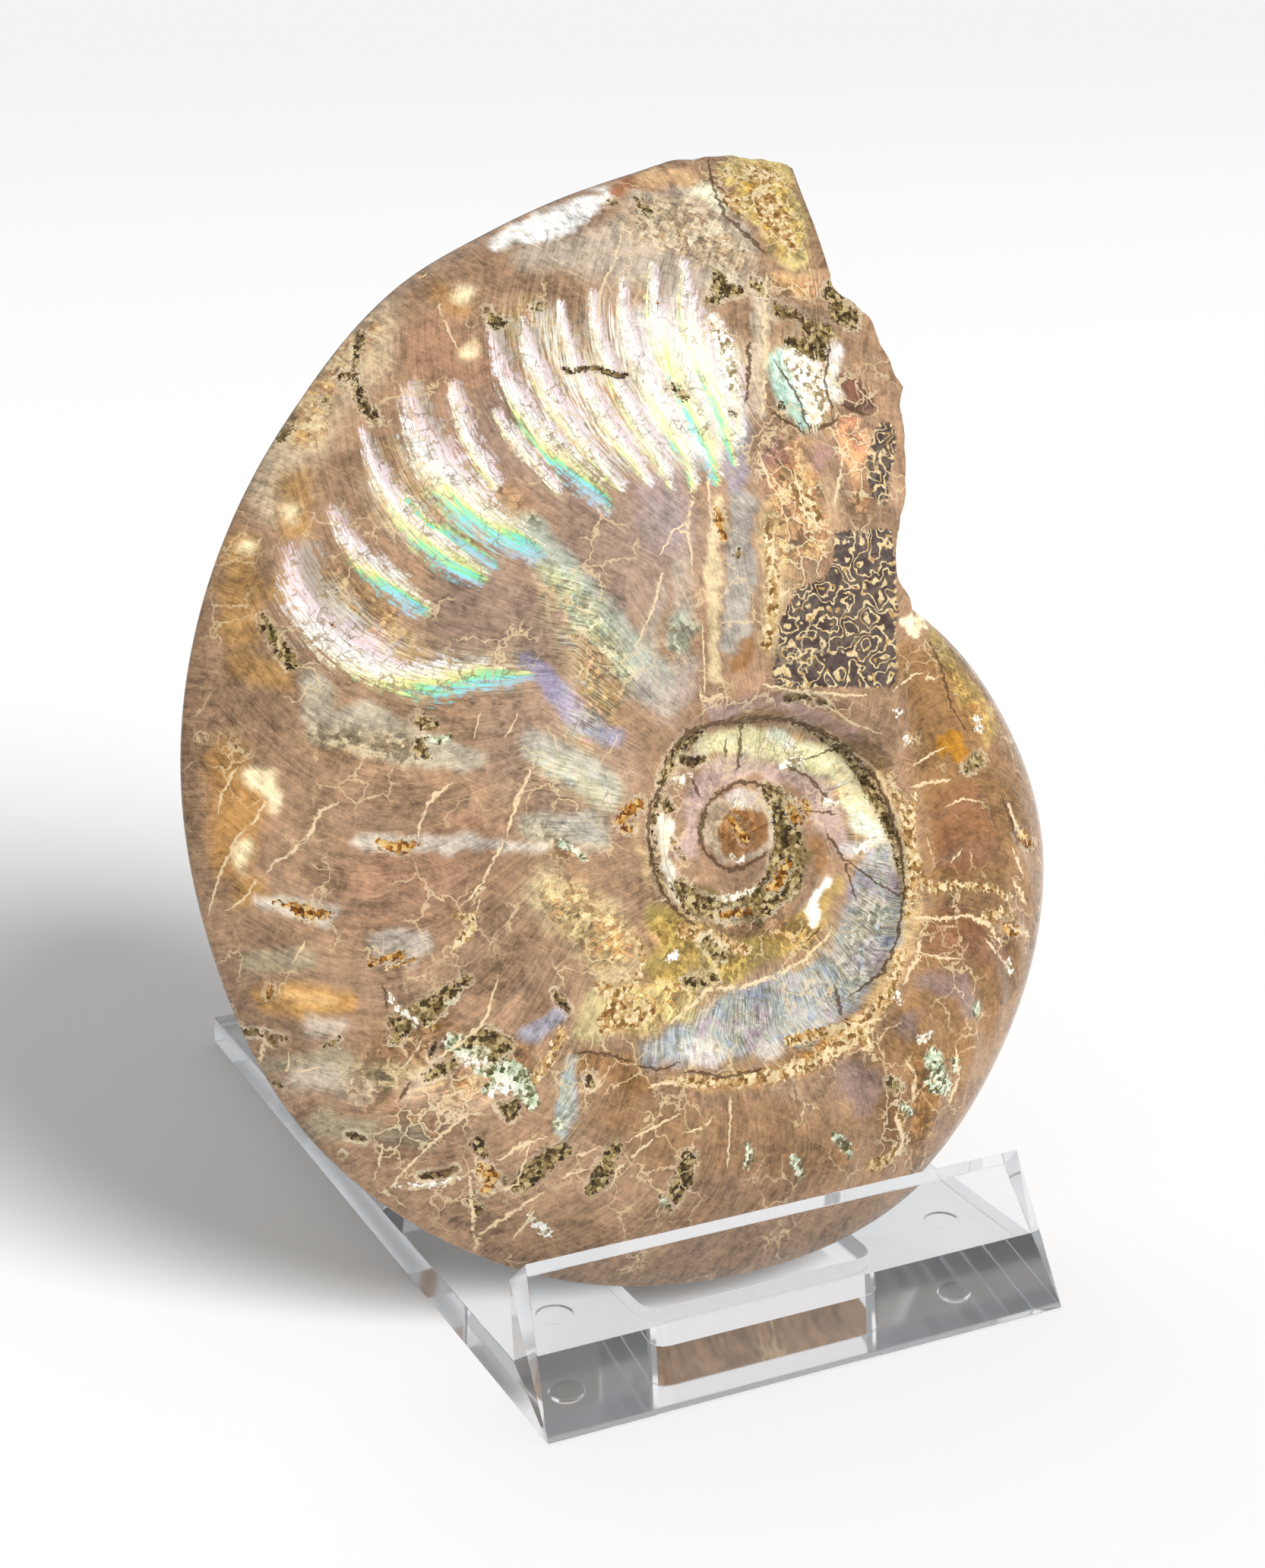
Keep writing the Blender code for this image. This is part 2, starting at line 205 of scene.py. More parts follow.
# The shell's tones as stops, each with its place and its colour
SHEEN = (
    (0.30, (236, 190, 196)), (0.42, (244, 232, 205)), (0.50, (236, 236, 180)),
    (0.58, (198, 222, 200)), (0.68, (186, 202, 220)), (0.8, (192, 180, 212)),
)
SPONGE_TONES = (
    (0.0, (70, 60, 36)), (0.25, (128, 116, 88)), (0.6, (176, 166, 146)), (1.0, (246, 240, 222)),
)
CHUNK_TONES = (
    (0.0, (86, 66, 58)), (0.3, (134, 108, 88)), (0.6, (150, 138, 120)), (1.0, (214, 190, 160)),
)
# The grooves' iridescent hues; their near-white stops are painted highlight, the light reflected in the
# polished grooves
GROOVE_HUES_AND_HIGHLIGHTS = (
    (0.0, (196, 184, 172)), (0.2, (250, 230, 234)), (0.4, (252, 250, 246)), (0.56, (252, 247, 222)),
    (0.67, (236, 238, 160)), (0.75, (150, 236, 176)), (0.85, (150, 232, 236)), (1.0, (184, 200, 214)),
)
SUTURE_FILL = ((0.35, (70, 54, 50)), (0.5, (88, 76, 72)), (0.6, (110, 96, 84)), (0.7, (78, 60, 52)))
SUTURE_LINE = ((0.1, (176, 142, 92)), (0.5, (222, 202, 160)))

# Single tones of the shell
PIT_COLOUR = (116, 94, 56)
CHUNK_PALE_EDGE = (234, 216, 180)
CHUNK_DARK_EDGE = (104, 78, 54)
CRAZE_COLOUR = (120, 104, 76)
# Painted highlight colour of the bright streaks along the growth lines
PAINTED_HIGHLIGHT_COLOUR = (252, 249, 243)
GROOVE_CRAZE = (132, 112, 80)
GROOVE_BARE = (178, 150, 120)
HALO_COLOUR = (226, 212, 184)
WEB_COLOUR = (232, 208, 168)
VEIN_COLOUR = (236, 214, 176)
# Dark of the cracks, also painted shadow in the seams between the whorls
CRACK_AND_SEAM_SHADOW_COLOUR = (84, 62, 44)

# The crisp marks in the order that they are laid: which noise breaks their edges, and their tones
MARK_LOOKS = {
    "gold": ("ragged", (
        (0.1, (120, 88, 52)), (0.35, (178, 140, 92)), (0.65, (206, 180, 134)), (0.9, (230, 212, 174)),
    )),
    "green": ("ragged", (
        (0.1, (84, 82, 52)), (0.35, (150, 150, 116)), (0.6, (182, 200, 172)), (0.9, (232, 230, 208)),
    )),
    "white": ("ragged", (
        (0.1, (150, 132, 100)), (0.3, (216, 204, 178)), (0.55, (244, 238, 222)), (0.9, (255, 253, 246)),
    )),
    "matrix": ("ragged", (
        (0.1, (56, 44, 28)), (0.35, (94, 78, 48)), (0.6, (130, 112, 74)), (0.8, (162, 142, 100)),
        (1.0, (202, 184, 142)),
    )),
    "rust": ("ragged", (
        (0.1, (92, 58, 30)), (0.4, (150, 98, 50)), (0.7, (190, 140, 80)), (0.9, (222, 190, 132)),
    )),
    "dark": ("tight", ((0.1, (46, 34, 22)), (0.5, (80, 62, 40)), (0.9, (140, 118, 80)))),
}

# The shell's finish
SHELL_SATURATION = 1.08
SHELL_VALUE = 0.90
SHELL_ROUGHNESS = 0.15
SHELL_SPECULAR = 0.28
BUMP_STRENGTH = 0.6

# The clear plastic: its surface, and the tint and density of its depth
PLASTIC_COLOUR = (0.98, 0.99, 1.0, 1)
PLASTIC_SURFACE = {"Roughness": 0.06, "IOR": 1.49, "Transmission Weight": 1.0}
PLASTIC_TINT = (0.82, 0.88, 0.97, 1)
PLASTIC_DENSITY = 5.0

# Soft colour fields: name, colour, softness, strength, strokes
PAINT = (
    # Painted highlight: pale cream along the upper left shoulder, where the rounded flank catches the
    # light
    ("upper left shoulder highlight", CREAM, 55, 0.75, (
        ((505, 420, 10), (440, 500, 25), (395, 570, 25), (355, 650, 18)),
    )),
    ("upper flank", ROSY, 60, 0.55, (
        ((560, 450, 30), (640, 500, 30)), ((600, 560, 20), (720, 640, 20)),
    )),
    ("top flank", GREY_CREAM, 45, 0.7, (((700, 340, 10), (800, 330, 30), (930, 330, 40)),)),
    ("spongy top", GREY_CREAM, 30, 0.8, (((850, 290, 30), (900, 300, 40), (960, 340, 30)),)),
    # Partly the pale nacre's own colour, partly a painted highlight: the glare of the light on the
    # polished upper flank
    ("nacre and painted glare zone", WHITE_NACRE_AND_GLARE, 45, 0.9, (((860, 440, 30), (900, 500, 40), (930, 570, 30)),)),
    ("cyan facet", (190, 226, 214), 14, 0.9, (
        ((1034, 480, 16), (1052, 520, 22), (1066, 550, 12)),
    )),
    ("violet streaks", (150, 142, 150), 14, 0.8, (((975, 570, 6), (970, 610, 14), (965, 645, 8)),)),
    ("brown facet", (150, 104, 78), 8, 0.9, (((805, 252, 5), (835, 246, 7), (860, 250, 5)),)),
    ("mid flank mauve", (150, 128, 112), 80, 0.85, (
        ((640, 820, 60), (740, 780, 70), (840, 720, 60)), ((760, 640, 40), (640, 560, 30)),
    )),
    ("inner flank", (160, 136, 118), 60, 0.6, (((700, 980, 60), (780, 1020, 50)),)),
    ("lilac haze", (168, 152, 152), 40, 0.6, (((870, 640, 22), (880, 700, 14)),)),
    ("tan column", (186, 160, 130), 30, 0.9, (
        ((1040, 600, 20), (1060, 680, 38), (1040, 750, 34)),
    )),
    ("crackle column", (196, 172, 134), 14, 0.85, (
        ((1015, 670, 12), (1020, 760, 14), (1010, 860, 12)),
    )),
    ("grey streaks", (176, 162, 146), 18, 0.7, (
        ((905, 740, 8), (900, 840, 10)), ((870, 780, 6), (850, 860, 10)),
    )),
    ("cream strip", (206, 190, 166), 9, 0.85, (((1000, 380, 8), (1000, 460, 8), (996, 545, 8)),)),
    ("break white", (236, 230, 222), 9, 0.9, (((1096, 470, 12), (1106, 520, 12)),)),
    ("olive bands", (172, 158, 132), 22, 0.9, (
        ((360, 1405, 8), (440, 1408, 12), (540, 1412, 8)), ((430, 1480, 12), (540, 1500, 12)),
        ((330, 1270, 8), (400, 1262, 8)),
    )),
    ("grey band", (162, 156, 146), 10, 0.9, (((975, 665, 16), (972, 760, 18), (965, 850, 14)),)),
    ("brown patch", (142, 104, 70), 8, 0.8, (((980, 850, 8), (978, 880, 8)),)),
    ("cream seam", (214, 196, 158), 6, 0.8, (
        ((936, 660, 5), (940, 740, 6), (938, 830, 6), (945, 900, 5)),
    )),
    ("cream-teal diagonal", (174, 180, 166), 24, 0.85, (
        ((690, 700, 14), (740, 755, 18), (790, 815, 20), (830, 860, 22), (865, 905, 16)),
    )),
    ("pale fan", (178, 166, 156), 30, 0.7, (
        ((850, 900, 16), (880, 930, 14)), ((900, 880, 14), (895, 920, 12)),
    )),
    ("teal patch", (160, 172, 160), 18, 0.7, (((900, 822, 14), (895, 850, 10)),)),
    ("blue-violet", BLUE_VIOLET, 20, 0.7, (
        ((690, 875, 8), (725, 900, 12), (765, 930, 14), (800, 965, 10)),
    )),
    ("pale granular", (184, 182, 168), 26, 0.8, (
        ((705, 990, 18), (750, 1010, 20), (795, 1045, 16)), ((710, 1090, 16), (780, 1100, 20)),
    )),
    ("left amber high", (180, 142, 96), 34, 0.85, (
        ((395, 640, 14), (390, 680, 14)), ((318, 720, 14), (325, 780, 22), (315, 830, 18)),
        ((375, 780, 12),), ((320, 870, 14), (370, 890, 12)),
    )),
    ("left amber zone", (182, 140, 92), 44, 0.9, (
        ((300, 1000, 14), (310, 1060, 26), (306, 1120, 22)), ((330, 1170, 14),),
    )),
    ("amber band", (186, 144, 92), 22, 0.9, (((350, 1315, 10), (400, 1318, 16), (460, 1312, 12)),)),
    ("amber top", AMBER, 26, 0.7, (((575, 385, 10), (600, 400, 14)),)),
    ("grey cream low left", GREY_CREAM, 24, 0.7, (
        ((400, 1352, 8), (450, 1355, 8)), ((390, 1430, 10), (480, 1432, 10)),
    )),
    ("grey cream mid", (184, 174, 154), 18, 0.85, (
        ((430, 960, 26), (480, 968, 32), (540, 976, 26), (620, 1000, 10)),
        ((412, 900, 16), (422, 935, 22)),
    )),
    ("beige low", (206, 188, 152), 40, 0.8, (
        ((720, 1180, 20), (780, 1220, 30), (810, 1270, 20)), ((560, 1430, 14), (620, 1440, 14)),
    )),
    ("pale low flank", (205, 180, 160), 30, 0.6, (((560, 1440, 24), (620, 1430, 20)),)),
    ("rosy low", ROSY, 60, 0.5, (((500, 1180, 40), (600, 1130, 40)),)),
    ("bottom brown", ORANGE_BROWN, 60, 0.6, (
        ((820, 1460, 30), (900, 1500, 40), (1000, 1500, 40), (1080, 1500, 30)),
    )),
    ("brown under ledge", (158, 120, 82), 14, 0.8, (
        ((768, 1398, 8), (810, 1415, 14), (840, 1425, 8)),
    )),
    ("right whorl", ORANGE_BROWN, 50, 0.95, (
        ((1210, 880, 24), (1250, 960, 34), (1280, 1080, 60), (1290, 1200, 60), (1250, 1330, 60),
         (1180, 1440, 50)),
    )),
    ("right whorl dark", (138, 100, 74), 26, 0.9, (
        ((1260, 1070, 30), (1270, 1120, 34)), ((1250, 1230, 26), (1290, 1250, 20)),
    )),
    ("right whorl mauve", (136, 116, 110), 26, 0.75, (
        ((1220, 1290, 12), (1260, 1310, 14), (1280, 1330, 8)), ((1120, 1420, 14), (1140, 1450, 14)),
        ((1200, 1350, 12),),
    )),
    ("right rim", (186, 160, 108), 12, 0.85, (
        ((1222, 826, 4), (1250, 870, 12), (1275, 920, 16), (1300, 960, 10)),
    )),
    ("gold matrix", GOLD, 16, 0.95, (
        ((868, 1210, 16), (900, 1240, 26), (960, 1262, 26), (1010, 1250, 16)),
        ((870, 1270, 20), (930, 1280, 16)),
    )),
    ("yellow cream", PALE_GOLD, 24, 0.9, (
        ((780, 1330, 16), (830, 1330, 26), (900, 1315, 14)), ((770, 1355, 14), (850, 1350, 10)),
    )),
    ("golden chunk", (206, 188, 134), 10, 1.0, (
        ((960, 225, 18), (1000, 225, 20), (1025, 235, 20)),
        ((1000, 260, 32), (1030, 290, 30), (1035, 320, 24), (1048, 340, 12)),
    )),
    ("tan smooth", TAN, 10, 0.9, (((850, 240, 10), (900, 236, 12)),)),
    ("tan plate", TAN, 6, 1.0, (
        ((1018, 365, 4), (1040, 372, 10), (1055, 380, 12), (1068, 390, 8)),
    )),
    ("rough purple", PURPLE_BROWN, 10, 0.95, (
        ((1115, 500, 10), (1130, 510, 14), (1145, 520, 12)), ((1120, 530, 8), (1135, 535, 8)),
    )),
    ("mauve facet", (176, 140, 132), 10, 0.8, (
        ((1015, 600, 12), (1030, 590, 10)), ((1080, 598, 10),),
    )),
    ("peach facets", PEACH, 12, 0.95, (((1120, 560, 14), (1130, 600, 22), (1135, 630, 10)),)),
    ("umbilical wall", (172, 148, 140), 8, 0.9, (
        ((940, 940, 8), (985, 925, 10), (1040, 928, 10), (1090, 945, 8), (1130, 975, 7)),
    )),
    ("whorl top", (216, 206, 170), 10, 0.95, (
        ((935, 980, 12), (990, 975, 16), (1050, 985, 18), (1100, 1010, 18), (1130, 1050, 16),
         (1150, 1100, 14)),
    )),
    ("whorl teal", (200, 208, 196), 12, 0.8, (
        ((1020, 965, 6), (1040, 970, 6)), ((1130, 1075, 12), (1155, 1095, 8)),
    )),
    ("whorl mauve", MAUVE_PINK, 12, 0.9, (
        ((905, 1120, 8), (905, 1060, 10), (940, 1020, 10), (1000, 1005, 8), (1060, 1030, 9),
         (1085, 1070, 12), (1095, 1100, 10)),
    )),
    ("whorl blue", BLUE_GREY, 16, 0.95, (
        ((1160, 1130, 18), (1155, 1180, 28), (1150, 1230, 34), (1120, 1280, 36), (1060, 1320, 40),
         (980, 1345, 40), (910, 1370, 26), (850, 1390, 10)),
    )),
    ("whorl violet", (128, 128, 150), 16, 0.8, (
        ((1140, 1160, 8), (1165, 1180, 8)), ((1130, 1270, 18), (1150, 1240, 12)),
        ((1000, 1320, 20),),
    )),
    ("whorl white low", (214, 208, 204), 16, 0.7, (
        ((920, 1380, 16), (950, 1385, 12)), ((1010, 1385, 12),), ((1110, 1120, 10),),
    )),
    ("inner gold", (180, 154, 98), 10, 0.8, (
        ((1030, 1245, 12), (1070, 1215, 12), (1100, 1180, 10)),
    )),
    ("inner matrix", (112, 96, 58), 7, 0.95, (
        ((1020, 1040, 10), (1040, 1070, 14), (1045, 1120, 16), (1040, 1170, 16), (1000, 1200, 14),
         (940, 1200, 14), (910, 1170, 10)),
    )),
    ("inner brown", (150, 112, 76), 7, 0.8, (
        ((1070, 1110, 7), (1075, 1150, 8)), ((1055, 1060, 6), (1065, 1080, 5)),
    )),
    ("disc", (188, 172, 150), 5, 0.95, (((965, 1085, 42), (985, 1090, 40)),)),
    ("nucleus", (146, 106, 72), 4, 0.95, (((976, 1094, 33),),)),
    ("disc top", (200, 188, 180), 5, 0.9, (((965, 1045, 8), (990, 1045, 10)),)),
    ("disc right", (190, 190, 184), 5, 0.8, (((1008, 1060, 5), (1018, 1085, 5)),)),
    ("left white strip", (238, 232, 212), 5, 0.95, (
        ((875, 1075, 6), (875, 1110, 7), (884, 1150, 7), (890, 1185, 5)),
    )),
    ("golden ledge right", (190, 160, 120), 9, 0.95, (
        ((1160, 1010, 4), (1180, 1060, 7), (1194, 1120, 8), (1200, 1180, 9), (1190, 1240, 9),
         (1170, 1290, 9), (1150, 1320, 10)),
    )),
    ("golden ledge low", (186, 150, 108), 10, 0.95, (
        ((1150, 1330, 10), (1110, 1365, 14), (1060, 1400, 13), (1000, 1425, 10), (930, 1428, 8),
         (880, 1425, 4)),
    )),
    ("left cream ledge", (196, 168, 128), 6, 0.8, (
        ((846, 1090, 3), (844, 1130, 4), (850, 1165, 4)),
    )),
    ("blue strip", (168, 172, 170), 8, 0.9, (
        ((755, 1395, 8), (748, 1430, 10), (742, 1470, 9), (742, 1490, 6)),
    )),
    ("blue specks", (162, 162, 174), 10, 0.8, (((700, 1355, 12), (730, 1335, 8)),)),
)

# Small bright or dark spots of soft edge: name, colour, softness, strength, strokes
GLOWS = (
    ("glow top", CREAM_GLOW, 22, 0.95, (((602, 384, 8),), ((620, 465, 3),))),
    ("glow left high", CREAM_GLOW, 18, 0.8, (((387, 670, 8),), ((325, 725, 7),))),
    ("glow left", CREAM_GLOW, 20, 0.95, (
        ((330, 1020, 6), (345, 1035, 10), (355, 1050, 8)), ((325, 1120, 5), (322, 1135, 4)),
    )),
    ("glow band", (214, 178, 128), 16, 0.7, (((370, 1315, 5), (410, 1318, 6), (445, 1312, 5)),)),
    # Painted highlights: near-white along the upper shoulder of the keel, where the polished shell
    # catches the light
    ("painted shoulder highlight", (255, 252, 246), 10, 1.0, (
        ((655, 320, 4), (680, 305, 9), (710, 300, 14), (740, 285, 16), (770, 265, 12),
         (790, 252, 5)),
    )),
    ("painted shoulder highlight right", (250, 244, 214), 6, 0.9, (
        ((905, 255, 5), (925, 252, 6), (940, 262, 5), (950, 272, 4)),
    )),
    ("cream glow right", CREAM_GLOW, 7, 1.0, (((1188, 822, 6), (1205, 815, 8), (1200, 838, 5)),)),
    ("white streak", (255, 252, 240), 3, 1.0, (
        ((1066, 1222, 3), (1078, 1195, 6), (1088, 1172, 4)),
    )),
    ("eye halo", (212, 204, 190), 16, 0.75, (
        ((466, 1112, 3), (510, 1112, 8), (560, 1112, 6), (610, 1110, 5), (660, 1114, 4),
         (720, 1122, 4)),
    )),
    ("low eye halo", (206, 200, 188), 16, 0.7, (((340, 1184, 3), (380, 1196, 7), (435, 1206, 7)),)),
    ("low grey patch", (194, 186, 174), 18, 0.7, (
        ((500, 1246, 12), (545, 1240, 16), (540, 1264, 8)),
    )),
    ("amber spot", (172, 124, 62), 6, 0.95, (((1250, 980, 14), (1265, 995, 8)),)),
)

# Crisp marks by kind
MARKS = {
    "matrix": (
        ((475, 440, 5), (472, 455, 6), (470, 468, 4), (467, 480, 4), (466, 495, 5), (470, 510, 6),
         (474, 525, 7), (484, 540, 6), (494, 552, 7)),
        ((450, 497, 5), (460, 494, 3)), ((424, 522, 3), (434, 535, 3)),
        ((370, 575, 6), (385, 562, 4)),
        ((640, 405, 3), (646, 418, 5), (652, 425, 8), (662, 426, 6), (668, 425, 3)),
        ((703, 407, 4), (713, 403, 4)), ((800, 267, 3), (812, 267, 3)),
        ((838, 262, 3), (851, 278, 5), (858, 284, 4)),
        ((945, 362, 7), (947, 378, 11), (960, 382, 8), (975, 383, 6)),
        ((945, 393, 6), (928, 398, 3)), ((990, 370, 5), (1000, 380, 7), (1003, 388, 5)),
        ((1022, 402, 5), (1025, 412, 8), (1040, 412, 7), (1052, 418, 5)),
        ((1060, 425, 7), (1070, 435, 12), (1085, 440, 12), (1092, 435, 6)),
        ((1038, 450, 6), (1055, 455, 9), (1070, 462, 11), (1080, 458, 10), (1082, 470, 6)),
        ((1087, 385, 7), (1095, 378, 8), (1105, 375, 6), (1110, 385, 8), (1100, 393, 8)),
        ((1105, 410, 14), (1120, 420, 12)),
        ((877, 509, 4), (887, 507, 3), (897, 519, 5), (904, 522, 5)), ((1028, 535, 5),),
        ((965, 545, 4),), ((345, 815, 6), (365, 845, 9), (385, 875, 9)),
        ((548, 945, 6), (560, 955, 8), (572, 955, 6)),
        ((555, 975, 6), (552, 990, 8), (562, 995, 5)),
        ((545, 1328, 6), (565, 1320, 10), (590, 1308, 10), (605, 1295, 5), (615, 1288, 5)),
        ((972, 730, 6),), ((515, 1345, 6), (530, 1350, 12), (522, 1368, 7)),
        ((575, 1322, 12), (560, 1340, 8)), ((562, 1418, 6), (580, 1408, 9), (598, 1400, 6)),
        ((615, 1372, 8), (640, 1365, 12), (665, 1375, 10), (650, 1390, 8)),
        ((660, 1455, 6), (672, 1466, 9), (680, 1450, 5)), ((628, 1505, 8), (636, 1520, 5)),
        ((620, 1580, 6), (630, 1592, 6)),
        ((745, 1512, 8), (722, 1525, 12), (700, 1545, 14), (680, 1562, 8)), ((665, 1555, 5),),
        ((812, 1508, 7), (800, 1530, 11), (790, 1552, 12), (778, 1568, 7)),
        ((905, 1525, 10), (900, 1550, 12), (888, 1575, 9)), ((880, 1590, 5),),
        ((775, 1418, 6), (778, 1428, 5)), ((1172, 1425, 6), (1180, 1432, 6)),
        ((1285, 1000, 9), (1275, 1010, 7)), ((875, 1055, 6), (880, 1064, 6)),
        ((862, 1140, 4), (870, 1165, 5), (878, 1178, 4)), ((930, 1240, 8), (945, 1255, 9)),
        ((905, 1293, 7), (925, 1290, 10), (938, 1286, 6)),
        ((1045, 950, 3), (1085, 972, 4), (1120, 1000, 6), (1145, 1040, 8), (1165, 1075, 8),
         (1178, 1110, 5), (1186, 1150, 3)),
        ((920, 965, 5), (900, 980, 9), (885, 1000, 8), (872, 1030, 6)),
        ((865, 1050, 3), (858, 1090, 3), (858, 1130, 3)),
        ((1012, 1040, 10), (1030, 1066, 16), (1038, 1110, 19), (1032, 1155, 23), (1002, 1188, 18),
         (960, 1202, 13), (912, 1190, 14), (893, 1165, 9)),
        ((430, 1378, 3), (440, 1372, 4), (446, 1366, 2)),
    ),
    "dark": (
        ((741, 486, 4), (752, 489, 4), (768, 485, 4), (784, 484, 4), (800, 490, 4), (815, 495, 4),
         (828, 493, 3)),
        ((310, 1352, 3), (320, 1360, 4), (335, 1358, 4), (350, 1362, 3), (378, 1368, 3)),
        ((358, 1370, 5), (364, 1376, 3)), ((458, 1494, 4), (468, 1496, 5), (480, 1500, 3)),
        ((450, 1520, 3),), ((360, 1425, 2), (370, 1430, 3)),
        ((552, 1549, 3), (570, 1546, 5), (590, 1543, 5), (600, 1538, 3)),
        ((900, 1000, 6), (912, 1004, 7), (925, 998, 4)),
        ((884, 1104, 2), (892, 1118, 3), (900, 1130, 3)), ((860, 1095, 2), (864, 1110, 3)),
        ((1035, 920, 5), (1060, 916, 4), (1085, 925, 4)),
        ((730, 1305, 3), (738, 1318, 6), (748, 1330, 3)), ((566, 1392, 3), (572, 1375, 3)),
    ),
    "rust": (
        ((362, 1188, 2), (380, 1190, 4), (392, 1197, 8), (408, 1201, 8), (425, 1204, 6),
         (433, 1203, 4)),
        ((962, 1078, 5), (982, 1106, 6)), ((1040, 1058, 4), (1050, 1082, 6)),
        ((1040, 1135, 5), (1018, 1168, 7)), ((985, 1200, 5), (950, 1205, 5)),
        ((498, 1108, 4), (510, 1113, 7), (530, 1115, 8), (548, 1111, 4)),
        ((945, 672, 4), (947, 690, 5), (952, 708, 4)),
        ((485, 1270, 4), (497, 1265, 4), (510, 1262, 5), (525, 1257, 4), (535, 1254, 3)),
        ((865, 398, 2),), ((815, 1080, 5), (830, 1065, 8), (843, 1058, 7)), ((825, 1090, 7),),
        ((438, 823, 4),), ((355, 1300, 3), (352, 1312, 3)),
        ((635, 1540, 8), (650, 1550, 8), (640, 1565, 6)), ((1325, 1220, 8), (1335, 1225, 7)),
        ((1060, 1055, 3), (1064, 1070, 3)), ((1345, 1100, 8), (1352, 1110, 6)),
    ),
    "white": (
        ((1040, 462, 14), (1062, 490, 22), (1074, 530, 16), (1072, 556, 8)),
        ((940, 420, 8), (960, 470, 12), (968, 510, 8)), ((880, 1262, 4), (890, 1255, 4)),
        ((512, 1312, 4), (525, 1328, 4), (545, 1345, 5)),
        ((520, 1562, 2), (560, 1560, 4), (600, 1552, 3)), ((612, 1395, 8), (640, 1400, 8)),
        ((650, 1440, 8), (670, 1425, 8)), ((890, 1025, 5), (900, 1030, 5), (908, 1020, 3)),
        ((955, 1185, 5), (975, 1182, 8), (995, 1172, 5)), ((968, 1056, 4), (975, 1060, 3)),
        ((965, 1128, 4), (975, 1132, 4)), ((1213, 1368, 5), (1222, 1362, 3)), ((1180, 938, 5),),
        ((1192, 968, 3), (1194, 980, 4)), ((1285, 945, 4), (1290, 960, 4)),
        ((700, 1606, 6), (720, 1622, 6)), ((1180, 1310, 5), (1183, 1318, 4)),
        ((1330, 1280, 3), (1328, 1265, 3)), ((1030, 1008, 4), (1050, 1000, 5)),
        ((1085, 1055, 6), (1100, 1060, 5)), ((1130, 1120, 6), (1150, 1105, 4)),
    ),
    "gold": (
        ((840, 1235, 3), (845, 1250, 4), (845, 1275, 4), (838, 1290, 4), (820, 1300, 3)),
        ((595, 1207, 3), (622, 1205, 6), (625, 1215, 6), (610, 1235, 6), (600, 1245, 3)),
        ((880, 1424, 5), (950, 1426, 7), (1020, 1416, 8), (1080, 1395, 9), (1130, 1362, 10),
         (1168, 1312, 8), (1187, 1258, 6)),
        ((1195, 1200, 6), (1198, 1130, 5), (1188, 1070, 4), (1170, 1020, 3)),
        ((1010, 270, 18), (1040, 320, 10)), ((985, 225, 8), (1020, 232, 8)),
        ((1012, 690, 7), (1018, 770, 8), (1010, 850, 7)), ((1050, 640, 12), (1075, 690, 10)),
        ((850, 1330, 12), (800, 1350, 12)), ((790, 1300, 8), (820, 1315, 12), (800, 1340, 12)),
        ((900, 1225, 10), (980, 1250, 8)), ((958, 262, 8), (975, 275, 9)),
        ((420, 567, 4), (428, 562, 3)), ((553, 365, 4), (560, 362, 4)),
        ((1205, 1045, 4), (1200, 1070, 5), (1198, 1100, 6), (1204, 1135, 8), (1214, 1160, 7),
         (1232, 1172, 5)),
        ((1230, 1168, 5), (1270, 1164, 4), (1310, 1172, 5), (1330, 1182, 4)),
        ((1040, 1370, 8), (1120, 1350, 8), (1140, 1375, 8)),
        ((940, 1420, 5), (980, 1416, 5), (1020, 1415, 6)),
        ((1145, 1535, 7), (1170, 1525, 7), (1190, 1500, 6), (1186, 1470, 5)),
        ((1290, 1210, 6), (1305, 1205, 7), (1320, 1200, 5)),
        ((505, 1275, 2), (530, 1268, 3), (548, 1262, 3)),
        ((740, 1360, 8), (720, 1400, 6), (690, 1440, 6)), ((560, 1345, 5), (572, 1350, 6)),
    ),
    "green": (
        ((596, 1372, 12), (640, 1398, 20), (680, 1420, 18), (700, 1452, 10)),
        ((560, 1338, 8), (600, 1310, 6)), ((1228, 1392, 12), (1240, 1430, 12)),
        ((1285, 1320, 5), (1284, 1332, 5)), ((1225, 1385, 6), (1228, 1395, 6)),
        ((1222, 1425, 6), (1230, 1435, 5)), ((1258, 1395, 5), (1260, 1410, 4)),
        ((1190, 1458, 6), (1198, 1462, 5)), ((1100, 1495, 6), (1112, 1508, 7), (1118, 1520, 4)),
        ((1045, 1525, 6), (1052, 1545, 6)), ((984, 1505, 3), (986, 1525, 4), (983, 1535, 3)),
        ((870, 1575, 4), (878, 1590, 5)), ((565, 975, 5), (590, 972, 6)),
        ((640, 1410, 6), (660, 1420, 6), (640, 1435, 5)), ((735, 1480, 8),),
        ((770, 1130, 4), (740, 1110, 5)),
    ),
}

# Marks with a pale rim
HALO_KINDS = ("matrix", "rust", "dark")

# The dark patch of suture lines: its outline, and the column above it
SUTURE_OUTLINE = (
    (1098, 700), (1172, 695), (1178, 730), (1180, 780), (1183, 800), (1178, 830), (1182, 880),
    (1178, 905), (1120, 905), (1020, 905), (1018, 885), (1025, 850), (1025, 820), (1035, 800),
    (1050, 775), (1075, 765), (1090, 755), (1097, 735),
)
SUTURE_STROKES = (((1165, 570, 14), (1160, 600, 18), (1155, 630, 14), (1160, 655, 10)),)

